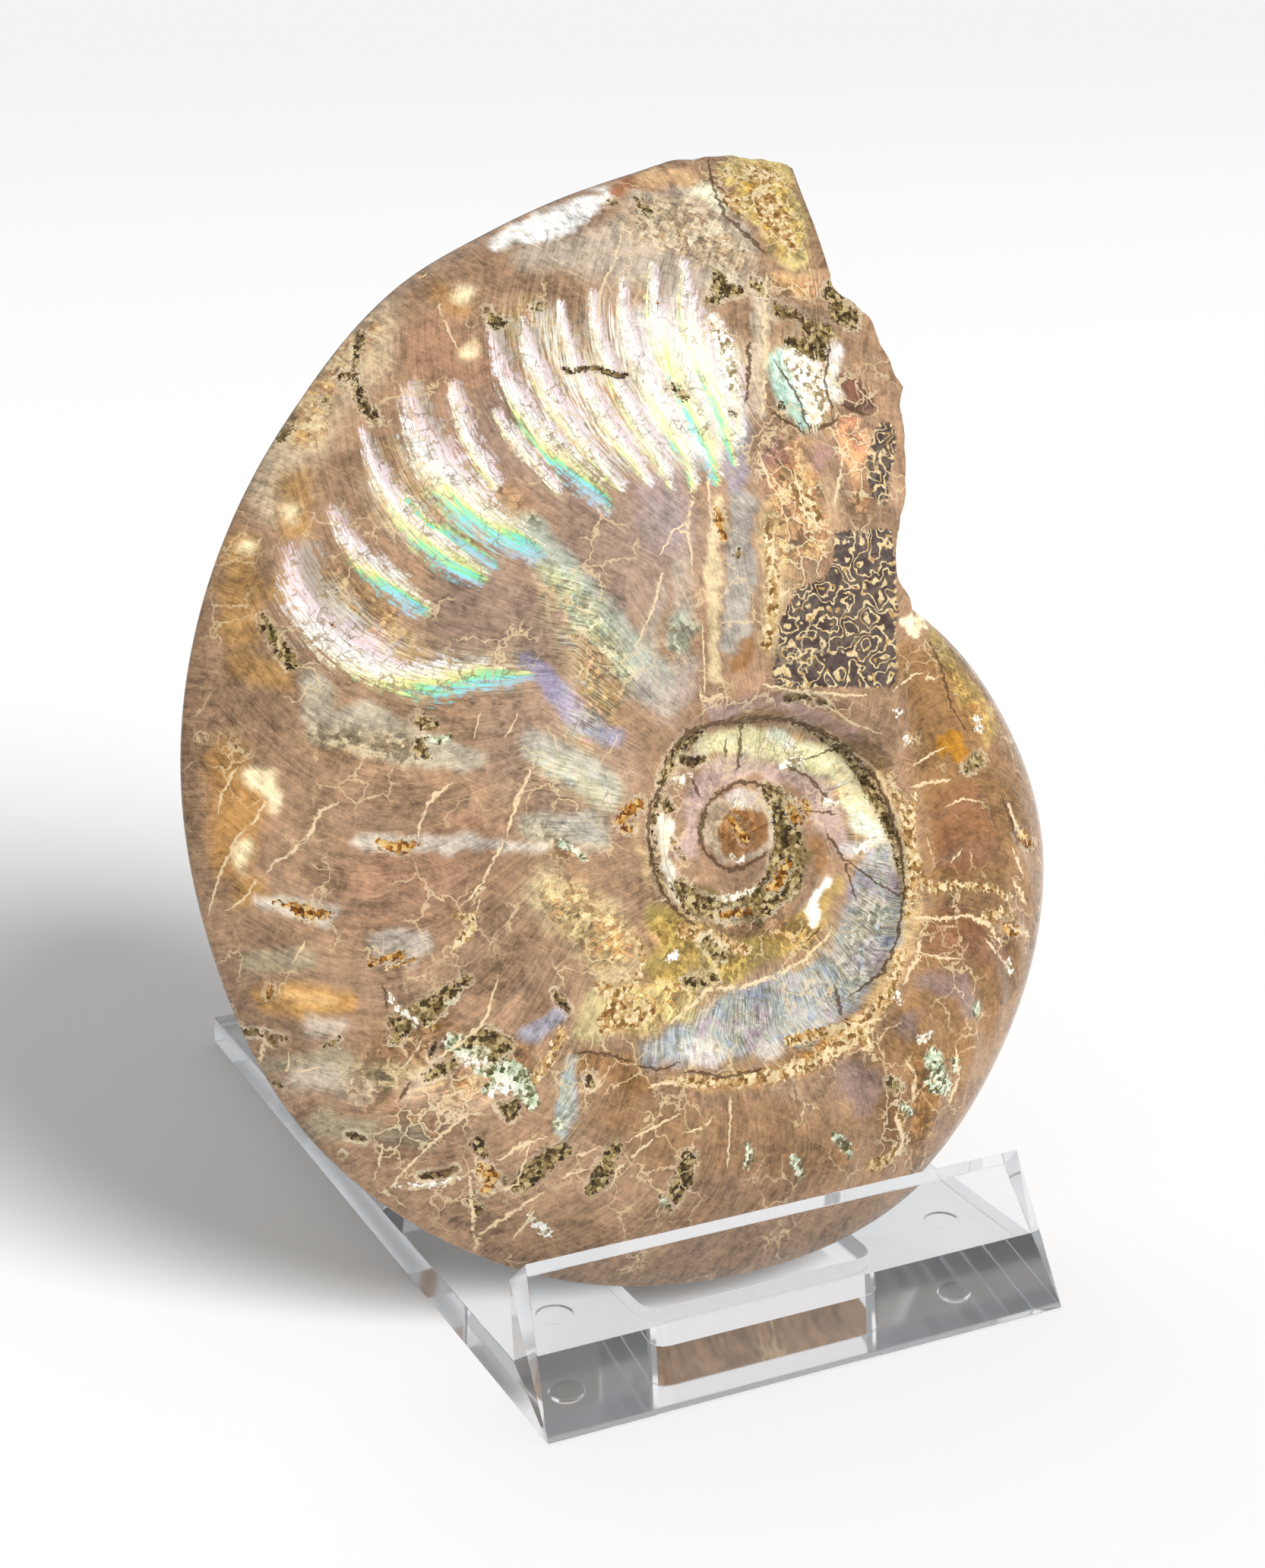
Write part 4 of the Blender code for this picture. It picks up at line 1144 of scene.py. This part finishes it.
def face_rings(zones, side):
    """One face's rings of points, with its fine relief, from its middle out."""
    places = ring_places(zones)
    counts = [len(angle) for _, angle in places]
    radius = np.concatenate([ring[0] + 0 * ring[1] for ring in places])
    angle = np.concatenate([ring[1] for ring in places])
    face = face_points(radius, angle, side)
    level = face[:, 2].copy()
    thin = np.clip(np.abs(level) / RELIEF_THICKNESS, 0, 1)
    for _ in range(2):
        face[:, 2] = level + side * thin * fine_relief(marking_places(face))
    return np.split(face, np.cumsum(counts)[:-1])


def fossil_rings():
    """All rings of the fossil's surface, from the middle of its front to the middle of its back."""
    angle = np.linspace(0, 360, FRONT_ZONES[-1][1], endpoint=False)
    rim = face_points(rim_radius(angle), angle, 0)
    return face_rings(FRONT_ZONES, 1) + [rim] + face_rings(BACK_ZONES, -1)[::-1]


def bridge(near, far):
    """Faces between two rings of point numbers. One may have twice as many points as the other."""
    if len(near) == len(far):
        return [(a, c, d, b) for a, b, c, d in zip(near, np.roll(near, -1), far, np.roll(far, -1))]
    if len(near) > len(far):
        return [face[::-1] for face in bridge(far, near)]
    faces = []
    for i, (a, b) in enumerate(zip(near, np.roll(near, -1))):
        c, d, e = far[2 * i], far[2 * i + 1], far[(2 * i + 2) % len(far)]
        faces += [(a, c, d), (a, d, b), (b, d, e)]
    return faces


def grow_fields(points):
    """Growth line and share of the keel's radius, which the fine streaks follow."""
    x, y = points[..., 0], points[..., 1]
    wound = unwound(np.degrees(np.arctan2(y, x)))
    share = np.clip(np.hypot(x, y) / keel_radius(wound), 0, 1.2)
    return wound - growth_bulge(share), share


def add_field(mesh, name, values):
    layer = mesh.attributes.new(name, "FLOAT", "POINT")
    layer.data.foreach_set("value", np.asarray(values, np.float32).ravel())


def make_fossil():
    """The fossil as one closed mesh, with its markings as attributes of its points."""
    noise.seed_set(NOISE_SEED)
    rings = fossil_rings()
    starts = np.cumsum([0] + [len(ring) for ring in rings])
    numbers = [np.arange(a, b) for a, b in zip(starts, starts[1:])]
    ends = np.array([(0, 0, UMBILICUS_LEVEL), (0, 0, -UMBILICUS_LEVEL)])
    points = np.concatenate(rings + [ends])
    roughen(points)
    faces = []
    for near, far in zip(numbers, numbers[1:]):
        faces += bridge(near, far)
    first, last = numbers[0], numbers[-1]
    faces += [(starts[-1], a, b) for a, b in zip(first, np.roll(first, -1))]
    faces += [(starts[-1] + 1, b, a) for a, b in zip(last, np.roll(last, -1))]
    mesh = bpy.data.meshes.new("ammonite_shell")
    mesh.from_pydata((to_world(points) * MM).tolist(), [], [tuple(map(int, f)) for f in faces])
    mesh.shade_smooth()

    places = marking_places(points)
    tones = painted_tones(ragged_places(places, points))
    layer = mesh.attributes.new("tone", "FLOAT_COLOR", "POINT")
    layer.data.foreach_set("color", np.insert(tones, 3, 1, axis=-1).astype(np.float32).ravel())
    for kind, strokes in MARKS.items():
        distance = strokes_distance(places, strokes)
        add_field(mesh, "mark_" + kind, np.clip(distance, -MARK_REACH, MARK_REACH))
    suture = np.minimum(
        area_distance(places, SUTURE_OUTLINE), strokes_distance(places, SUTURE_STROKES)
    )
    add_field(mesh, "mark_suture", np.clip(suture, -SUTURE_REACH, SUTURE_REACH))
    for name, strokes in (("vein", VEINS), ("crack_and_seam_shadow", CRACKS_AND_SEAM_SHADOWS)):
        ratio, nearest = line_fields(places, strokes)
        add_field(mesh, name + "_side", ratio)
        add_field(mesh, name + "_near", np.clip(nearest, 0, LINE_REACH))
    hue, across, reach = groove_fields(places)
    add_field(mesh, "groove_hue", hue)
    add_field(mesh, "groove_across", across)
    add_field(mesh, "groove_reach", np.clip(reach, 0, GROOVE_REACH))
    for name, (strokes, softness) in SOFT_FIELDS.items():
        add_field(mesh, name, soft_share(places, strokes, softness))
    line, share = grow_fields(points)
    add_field(mesh, "growth_line", line)
    add_field(mesh, "growth_share", share)

    obj = bpy.data.objects.new("ammonite_shell", mesh)
    bpy.context.scene.collection.objects.link(obj)
    return obj


class Nodes:
    """Short names for the shader nodes of one material."""

    def __init__(self, name):
        self.material = bpy.data.materials.new(name)
        self.material.use_nodes = True
        self.tree = self.material.node_tree
        self.shader = self.tree.nodes["Principled BSDF"]

    def put(self, socket, value):
        if isinstance(value, bpy.types.NodeSocket):
            self.tree.links.new(value, socket)
        elif isinstance(value, tuple) and socket.type == "RGBA":
            socket.default_value = (*linear(value), 1)
        else:
            socket.default_value = value

    def field(self, name):
        node = self.tree.nodes.new("ShaderNodeAttribute")
        node.attribute_name = name
        return node.outputs["Fac"]

    def colour_field(self, name):
        node = self.tree.nodes.new("ShaderNodeAttribute")
        node.attribute_name = name
        return node.outputs["Color"]

    def place(self, scale=(1, 1, 1), turn=(0, 0, 0)):
        """Object coordinates in millimetres, turned and then times scale."""
        coords = self.tree.nodes.new("ShaderNodeTexCoord")
        mapping = self.tree.nodes.new("ShaderNodeMapping")
        mapping.vector_type = "TEXTURE"
        mapping.inputs["Rotation"].default_value = turn
        mapping.inputs["Scale"].default_value = [MM / s for s in scale]
        self.tree.links.new(coords.outputs["Object"], mapping.inputs["Vector"])
        return mapping.outputs["Vector"]

    def vector(self, x, y, z=0.0):
        node = self.tree.nodes.new("ShaderNodeCombineXYZ")
        for socket, value in zip(node.inputs, (x, y, z)):
            self.put(socket, value)
        return node.outputs[0]

    def math(self, kind, a, b=0.0):
        node = self.tree.nodes.new("ShaderNodeMath")
        node.operation = kind
        self.put(node.inputs[0], a)
        self.put(node.inputs[1], b)
        return node.outputs[0]

    def add(self, a, b):
        return self.math("ADD", a, b)

    def times(self, a, b):
        return self.math("MULTIPLY", a, b)

    def noise(self, vector, scale, detail=3.0, roughness=0.55, distortion=0.0, output="Fac"):
        node = self.tree.nodes.new("ShaderNodeTexNoise")
        self.put(node.inputs["Vector"], vector)
        node.inputs["Scale"].default_value = scale
        node.inputs["Detail"].default_value = detail
        node.inputs["Roughness"].default_value = roughness
        node.inputs["Distortion"].default_value = distortion
        return node.outputs[output]

    def cells(self, vector, scale, feature="F1", output="Distance"):
        node = self.tree.nodes.new("ShaderNodeTexVoronoi")
        node.feature = feature
        self.put(node.inputs["Vector"], vector)
        node.inputs["Scale"].default_value = scale
        return node.outputs[output]

    def offset(self, vector, push, amount):
        """vector moved by push, a colour, times amount."""
        node = self.tree.nodes.new("ShaderNodeVectorMath")
        node.operation = "MULTIPLY_ADD"
        self.put(node.inputs[0], push)
        node.inputs[1].default_value = (amount, amount, amount)
        self.put(node.inputs[2], vector)
        return node.outputs[0]

    def span(self, value, low, high, to_low=0.0, to_high=1.0):
        """value from low to high, eased to the new range."""
        node = self.tree.nodes.new("ShaderNodeMapRange")
        node.interpolation_type = "SMOOTHSTEP"
        for socket, amount in zip(node.inputs, (value, low, high, to_low, to_high)):
            self.put(socket, amount)
        return node.outputs["Result"]

    def ramp(self, value, stops):
        node = self.tree.nodes.new("ShaderNodeValToRGB")
        ramp = node.color_ramp
        while len(ramp.elements) < len(stops):
            ramp.elements.new(0.5)
        for element, (at, colour) in zip(ramp.elements, stops):
            element.position = at
            element.color = (*linear(colour), 1)
        self.put(node.inputs["Fac"], value)
        return node.outputs["Color"]

    def mix(self, share, a, b, kind="MIX"):
        node = self.tree.nodes.new("ShaderNodeMix")
        node.data_type = "RGBA"
        node.blend_type = kind
        self.put(node.inputs["Factor"], share)
        colours = [s for s in node.inputs if s.type == "RGBA"]
        self.put(colours[0], a)
        self.put(colours[1], b)
        return [s for s in node.outputs if s.type == "RGBA"][0]


def base_textures(n):
    """The textures that several layers share, by name."""
    place = n.place()
    growth = n.vector(n.field("growth_line"), n.times(n.field("growth_share"), GROWTH_STRETCH))
    bent = n.offset(place, n.noise(place, 0.5, 3.0, 0.6, output="Color"), 3.0)
    craze = n.span(n.cells(bent, 0.9, "DISTANCE_TO_EDGE"), 0.09, 0.02)
    bits_place = n.offset(place, n.noise(place, 2.5, 3.0, 0.7, output="Color"), 0.5)
    chips = n.cells(bits_place, 2.4, "F1", "Color")
    bits = n.add(n.times(n.noise(place, 1.9, 3.0, 0.8, 0.4), 0.55), n.times(chips, 0.45))
    sheen_hue = n.noise(place, 0.55, 4.0, 0.6, 0.8)
    return {
        "place": place,
        "growth": growth,
        "bent": bent,
        "grain": n.noise(place, 1.3, 4.0, 0.75),
        "cloud": n.noise(place, 0.28, 3.0, 0.5),
        "streak": n.noise(growth, 1.6, 4.0, 0.6),
        "fine_streak": n.noise(growth, 5.5, 3.0, 0.6),
        "sheen": n.ramp(sheen_hue, SHEEN),
        "craze": n.times(craze, n.span(n.noise(place, 0.5, 2.0, 0.6), 0.46, 0.60)),
        "ragged": n.span(n.noise(place, 2.4, 3.0, 0.7), 0.25, 0.75, -5.0, 5.0),
        "tight": n.span(n.noise(place, 3.4, 3.0, 0.6), 0.25, 0.75, -2.2, 2.2),
        "bits": n.span(bits, 0.30, 0.70),
    }


def grained(n, t, colour):
    """The soft colours with clouds, growth streaks, polishing scratches and grain."""
    facet = n.cells(t["bent"], 0.22, "F1", "Color")
    scratches = n.noise(n.place((0.5, 0.5, 6.0), (0, radians(28), 0)), 1.0, 3.0, 0.6)
    level = 1.0
    for texture, low, high, to_low, to_high in (
        (t["cloud"], 0.3, 0.7, -0.16, 0.16),
        (t["streak"], 0.3, 0.7, -0.18, 0.18),
        (t["fine_streak"], 0.3, 0.7, -0.14, 0.14),
        (facet, 0.3, 0.7, -0.13, 0.13),
        (scratches, 0.56, 0.66, 0.0, 0.30),
        (t["grain"], 0.25, 0.75, -0.34, 0.34),
    ):
        level = n.add(n.span(texture, low, high, to_low, to_high), level)
    return n.mix(1.0, colour, n.vector(level, level, level), "MULTIPLY")


def sponged(n, t, colour):
    """Speckles and small pits where the shell is worn to a sponge."""
    sponge = n.field("sponge")
    specks = n.times(n.noise(t["place"], 1.5, 3.0, 0.8, 0.6), 0.6)
    specks = n.add(specks, n.times(n.cells(t["bent"], 1.5, "F1", "Color"), 0.4))
    tone = n.ramp(n.span(specks, 0.3, 0.7), SPONGE_TONES)
    colour = n.mix(n.times(sponge, 0.65), colour, tone, "OVERLAY")
    pit = n.span(n.cells(t["bent"], 0.9, "F1"), 0.26, 0.16)
    pit = n.times(pit, n.span(n.noise(t["place"], 0.7, 2.0, 0.6), 0.5, 0.6))
    return n.mix(n.times(n.times(pit, sponge), 0.8), colour, PIT_COLOUR)


def faceted(n, t, colour, chunks):
    """Chunks with pale and dark edges where the shell is broken."""
    facets = n.field("facets")
    tone = n.ramp(n.span(chunks, 0.2, 0.8), CHUNK_TONES)
    colour = n.mix(n.times(facets, 0.35), colour, tone, "OVERLAY")
    edge = n.cells(t["bent"], CHUNK_SCALE, "DISTANCE_TO_EDGE")
    pale = n.times(n.span(edge, 0.07, 0.02), facets)
    colour = n.mix(n.times(pale, 0.7), colour, CHUNK_PALE_EDGE)
    off_edge = n.math("ABSOLUTE", n.math("SUBTRACT", edge, 0.10))
    dark = n.times(n.span(off_edge, 0.035, 0.01), facets)
    return n.mix(n.times(dark, 0.45), colour, CHUNK_DARK_EDGE)


def pearly(n, t, colour):
    """The nacre's soft hues, its gleam along the growth lines and its fine cracks, then painted
    highlight streaks along the growth lines.
    """
    nacre = n.field("nacre")
    colour = n.mix(n.times(nacre, 0.30), colour, t["sheen"], "OVERLAY")
    gleam = n.times(n.span(n.times(t["streak"], t["fine_streak"]), 0.20, 0.36), nacre)
    colour = n.mix(n.times(gleam, 0.45), colour, t["sheen"], "SCREEN")
    colour = n.mix(n.times(n.times(t["craze"], nacre), 0.55), colour, CRAZE_COLOUR)
    lines = n.times(n.noise(t["growth"], 2.6, 3.0, 0.6), 0.6)
    lines = n.add(lines, n.times(t["fine_streak"], 0.4))
    # Painted highlight: near-white streaks along the growth lines, where the polish catches the light
    painted_highlight = n.times(n.field("painted_highlight"), n.span(lines, 0.44, 0.56))
    return n.mix(n.times(painted_highlight, 0.85), colour, n.mix(0.25, PAINTED_HIGHLIGHT_COLOUR, t["sheen"]))


def grooved(n, t, colour):
    """The iridescent grooves, whose hue runs along and across them, with ragged, worn edges. The
    near-white part of their hues is painted highlight.
    """
    hue = n.add(n.field("groove_hue"), n.times(n.field("groove_across"), 0.16))
    hue = n.add(hue, n.span(n.noise(t["growth"], 1.1, 4.0, 0.6), 0.3, 0.7, -0.11, 0.11))
    groove = n.ramp(hue, GROOVE_HUES_AND_HIGHLIGHTS)
    groove = n.mix(n.times(t["craze"], 0.7), groove, GROOVE_CRAZE)
    bare = n.span(n.noise(t["place"], 2.6, 4.0, 0.7), 0.56, 0.66, 0.0, 0.7)
    groove = n.mix(bare, groove, GROOVE_BARE)
    edge = n.span(n.noise(t["growth"], 2.2, 3.0, 0.7), 0.3, 0.7, -0.5, 0.5)
    edge = n.add(edge, n.span(t["grain"], 0.3, 0.7, -0.5, 0.5))
    inside = n.span(n.add(n.field("groove_reach"), edge), 1.7, 0.65)
    worn = n.span(n.noise(t["growth"], 4.0, 4.0, 0.7), 0.36, 0.54, 0.30, 1.0)
    return n.mix(n.times(inside, worn), colour, groove)


def marked(n, t, colour):
    """The crisp marks, some with a pale rim. Returns the colour and the matrix marks' cover."""
    covers = {}
    for kind, (edge_kind, stops) in MARK_LOOKS.items():
        edge = n.add(n.field("mark_" + kind), t[edge_kind])
        if kind in HALO_KINDS:
            halo = n.span(n.math("ABSOLUTE", n.math("SUBTRACT", edge, 3.0)), 3.0, 1.0)
            halo = n.times(halo, n.span(t["cloud"], 0.42, 0.60, 0.15, 0.65))
            colour = n.mix(halo, colour, HALO_COLOUR)
        covers[kind] = n.span(edge, 1.2, -1.2)
        colour = n.mix(covers[kind], colour, n.ramp(t["bits"], stops))
    return colour, covers["matrix"]


def sutured(n, t, colour):
    """The patch of looping suture lines. Returns the colour and the patch's cover."""
    wiggle_place = n.offset(t["place"], n.noise(t["place"], 0.8, 2.0, 0.5, output="Color"), 1.6)
    wiggle = n.noise(wiggle_place, 0.42, 1.0, 0.5)
    step = n.math("SUBTRACT", n.math("FRACT", n.times(wiggle, SUTURE_STEPS)), 0.5)
    lines = n.span(n.math("ABSOLUTE", step), 0.10, 0.20, 1.0, 0.0)
    fill = n.ramp(n.noise(t["place"], 0.9, 3.0, 0.6), SUTURE_FILL)
    tone = n.mix(lines, fill, n.ramp(t["bits"], SUTURE_LINE))
    cover = n.span(n.add(n.field("mark_suture"), t["tight"]), 2.0, -2.0)
    return n.mix(cover, colour, tone), cover


def lined(n, t, colour):
    """A faint web of hairlines, then the veins, then the cracks with the painted shadow lines in the
    seams between the whorls.
    """
    web = n.span(n.cells(t["bent"], 0.30, "DISTANCE_TO_EDGE"), 0.035, 0.012)
    web = n.times(web, n.span(n.noise(t["place"], 0.16, 2.0, 0.5), 0.48, 0.60))
    colour = n.mix(n.times(web, 0.6), colour, WEB_COLOUR)
    wander = n.span(n.noise(t["place"], 1.6, 3.0, 0.6), 0.3, 0.7, -0.9, 0.9)
    side = n.math("ABSOLUTE", n.add(n.field("vein_side"), wander))
    vein = n.times(n.span(side, 1.25, 0.55), n.span(n.field("vein_near"), 9.0, 6.0))
    vein = n.times(vein, n.span(n.noise(t["place"], 1.1, 2.0), 0.30, 0.48))
    colour = n.mix(n.times(vein, 0.9), colour, VEIN_COLOUR)
    # The cracks, and painted shadow lines in the seams between the whorls
    side = n.math("ABSOLUTE", n.add(n.field("crack_and_seam_shadow_side"), wander))
    crack_and_seam_shadow = n.times(n.span(side, 1.2, 0.5), n.span(n.field("crack_and_seam_shadow_near"), 9.0, 6.0))
    return n.mix(n.times(crack_and_seam_shadow, 0.85), colour, CRACK_AND_SEAM_SHADOW_COLOUR)


def shell_material():
    """Polished shell: soft colours with grain and streaks, crisp marks, veins, sutures and nacre."""
    n = Nodes("ammonite shell")
    t = base_textures(n)
    chunks = n.cells(t["bent"], CHUNK_SCALE, "F1", "Color")
    colour = grained(n, t, n.colour_field("tone"))
    colour = sponged(n, t, colour)
    colour = faceted(n, t, colour, chunks)
    colour = pearly(n, t, colour)
    colour = grooved(n, t, colour)
    colour, matrix = marked(n, t, colour)
    colour, suture = sutured(n, t, colour)
    colour = lined(n, t, colour)

    deeper = n.tree.nodes.new("ShaderNodeHueSaturation")
    deeper.inputs["Saturation"].default_value = SHELL_SATURATION
    deeper.inputs["Value"].default_value = SHELL_VALUE
    n.put(deeper.inputs["Color"], colour)
    n.put(n.shader.inputs["Base Color"], deeper.outputs["Color"])
    rough = n.add(n.times(matrix, 0.3), SHELL_ROUGHNESS)
    rough = n.add(rough, n.times(suture, 0.1))
    n.put(n.shader.inputs["Roughness"], rough)
    n.shader.inputs["Specular IOR Level"].default_value = SHELL_SPECULAR

    rough_patch = n.span(n.field("mark_matrix"), 2.0, -2.0)
    height = n.times(t["grain"], n.add(n.times(rough_patch, 1.2), 0.10))
    height = n.add(height, n.times(t["fine_streak"], 0.12))
    height = n.add(height, n.times(n.times(chunks, n.field("facets")), 1.2))
    bump = n.tree.nodes.new("ShaderNodeBump")
    bump.inputs["Strength"].default_value = BUMP_STRENGTH
    bump.inputs["Distance"].default_value = BUMP_HEIGHT * MM
    n.put(bump.inputs["Height"], height)
    n.tree.links.new(bump.outputs["Normal"], n.shader.inputs["Normal"])
    return n.material


def clear_material():
    """Clear moulded plastic with a slight blue tint in its depth."""
    n = Nodes("clear plastic")
    n.shader.inputs["Base Color"].default_value = PLASTIC_COLOUR
    for name, value in PLASTIC_SURFACE.items():
        n.shader.inputs[name].default_value = value
    depth = n.tree.nodes.new("ShaderNodeVolumeAbsorption")
    depth.inputs["Color"].default_value = PLASTIC_TINT
    depth.inputs["Density"].default_value = PLASTIC_DENSITY
    output = n.tree.nodes["Material Output"]
    n.tree.links.new(depth.outputs["Volume"], output.inputs["Volume"])
    return n.material


def floor_material():
    """A matt sweep, painted a little greyer further back as shade in place of the light's falloff."""
    n = Nodes("floor")
    parts = n.tree.nodes.new("ShaderNodeSeparateXYZ")
    n.put(parts.inputs[0], n.place())
    # Painted shade: the floor's colour turns greyer further back
    back = n.span(parts.outputs["Y"], *FLOOR_SHADE_FADE)
    n.put(n.shader.inputs["Base Color"], n.mix(back, FLOOR_NEAR, FLOOR_FAR_SHADED))
    n.shader.inputs["Roughness"].default_value = FLOOR_ROUGHNESS
    n.shader.inputs["Specular IOR Level"].default_value = 0.0
    return n.material


def make_floor():
    mesh = bpy.data.meshes.new("floor")
    corners = [(x * FLOOR_REACH, y * FLOOR_REACH, 0) for x, y in ((-1, -1), (1, -1), (1, 1), (-1, 1))]
    mesh.from_pydata(corners, [], [(0, 1, 2, 3)])
    floor = bpy.data.objects.new("floor", mesh)
    bpy.context.scene.collection.objects.link(floor)
    floor.location.z = -FLOOR_DROP
    mesh.materials.append(floor_material())


def make_sun(name, toward, strength, spread_deg, in_gloss, in_clear):
    """A broad even light from a direction."""
    data = bpy.data.lights.new(name, "SUN")
    data.energy = strength
    data.angle = radians(spread_deg)
    light = bpy.data.objects.new(name, data)
    bpy.context.scene.collection.objects.link(light)
    light.rotation_euler = Vector(toward).to_track_quat("Z", "Y").to_euler()
    light.visible_glossy = in_gloss
    light.visible_transmission = in_clear


def make_camera():
    """The picture's camera: its lens and place follow from the stand's edges in the picture."""
    data = bpy.data.cameras.new("camera")
    data.sensor_width = SENSOR
    data.lens = FOCAL * SENSOR / max(PICTURE_SIZE)
    data.clip_start, data.clip_end = CLIP
    camera = bpy.data.objects.new("camera", data)
    bpy.context.scene.collection.objects.link(camera)
    right, down, forward = camera_turn()
    turn = Matrix(np.stack([right, -down, -forward], axis=1).tolist())
    camera.matrix_world = Matrix.Translation(Vector(CAMERA_PLACE) * MM) @ turn.to_4x4()
    bpy.context.scene.camera = camera


def make_world():
    world = bpy.data.worlds.new("studio")
    world.use_nodes = True
    background = world.node_tree.nodes["Background"]
    background.inputs["Color"].default_value = (1, 1, 1, 1)
    tree = world.node_tree
    rays = tree.nodes.new("ShaderNodeLightPath")
    strength = tree.nodes.new("ShaderNodeMapRange")
    strength.inputs["To Min"].default_value = SKY_LIGHT
    strength.inputs["To Max"].default_value = SKY_SEEN
    tree.links.new(rays.outputs["Is Camera Ray"], strength.inputs["Value"])
    tree.links.new(strength.outputs["Result"], background.inputs["Strength"])
    bpy.context.scene.world = world


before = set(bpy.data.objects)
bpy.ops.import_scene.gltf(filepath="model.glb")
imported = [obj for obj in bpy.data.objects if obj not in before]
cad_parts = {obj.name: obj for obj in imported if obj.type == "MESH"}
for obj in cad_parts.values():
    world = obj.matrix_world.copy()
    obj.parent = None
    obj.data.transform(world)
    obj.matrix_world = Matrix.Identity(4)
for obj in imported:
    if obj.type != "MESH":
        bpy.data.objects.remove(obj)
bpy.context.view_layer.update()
make_camera()
bpy.context.scene.view_settings.view_transform = "Standard"
bpy.context.scene.cycles.diffuse_bounces = DIFFUSE_BOUNCES
bpy.context.scene.cycles.glossy_bounces = GLOSSY_BOUNCES
bpy.context.scene.cycles.transmission_bounces = CLEAR_BOUNCES
bpy.context.scene.cycles.max_bounces = CLEAR_BOUNCES

shell = make_fossil()
shell.data.materials.append(shell_material())
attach(shell, "root")
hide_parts("ammonite")

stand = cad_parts["display_stand"]
stand.data.shade_flat()
stand.data.materials.clear()
stand.data.materials.append(clear_material())
stand.visible_shadow = False

make_floor()
make_world()
for light_row in LIGHTS:
    make_sun(*light_row)
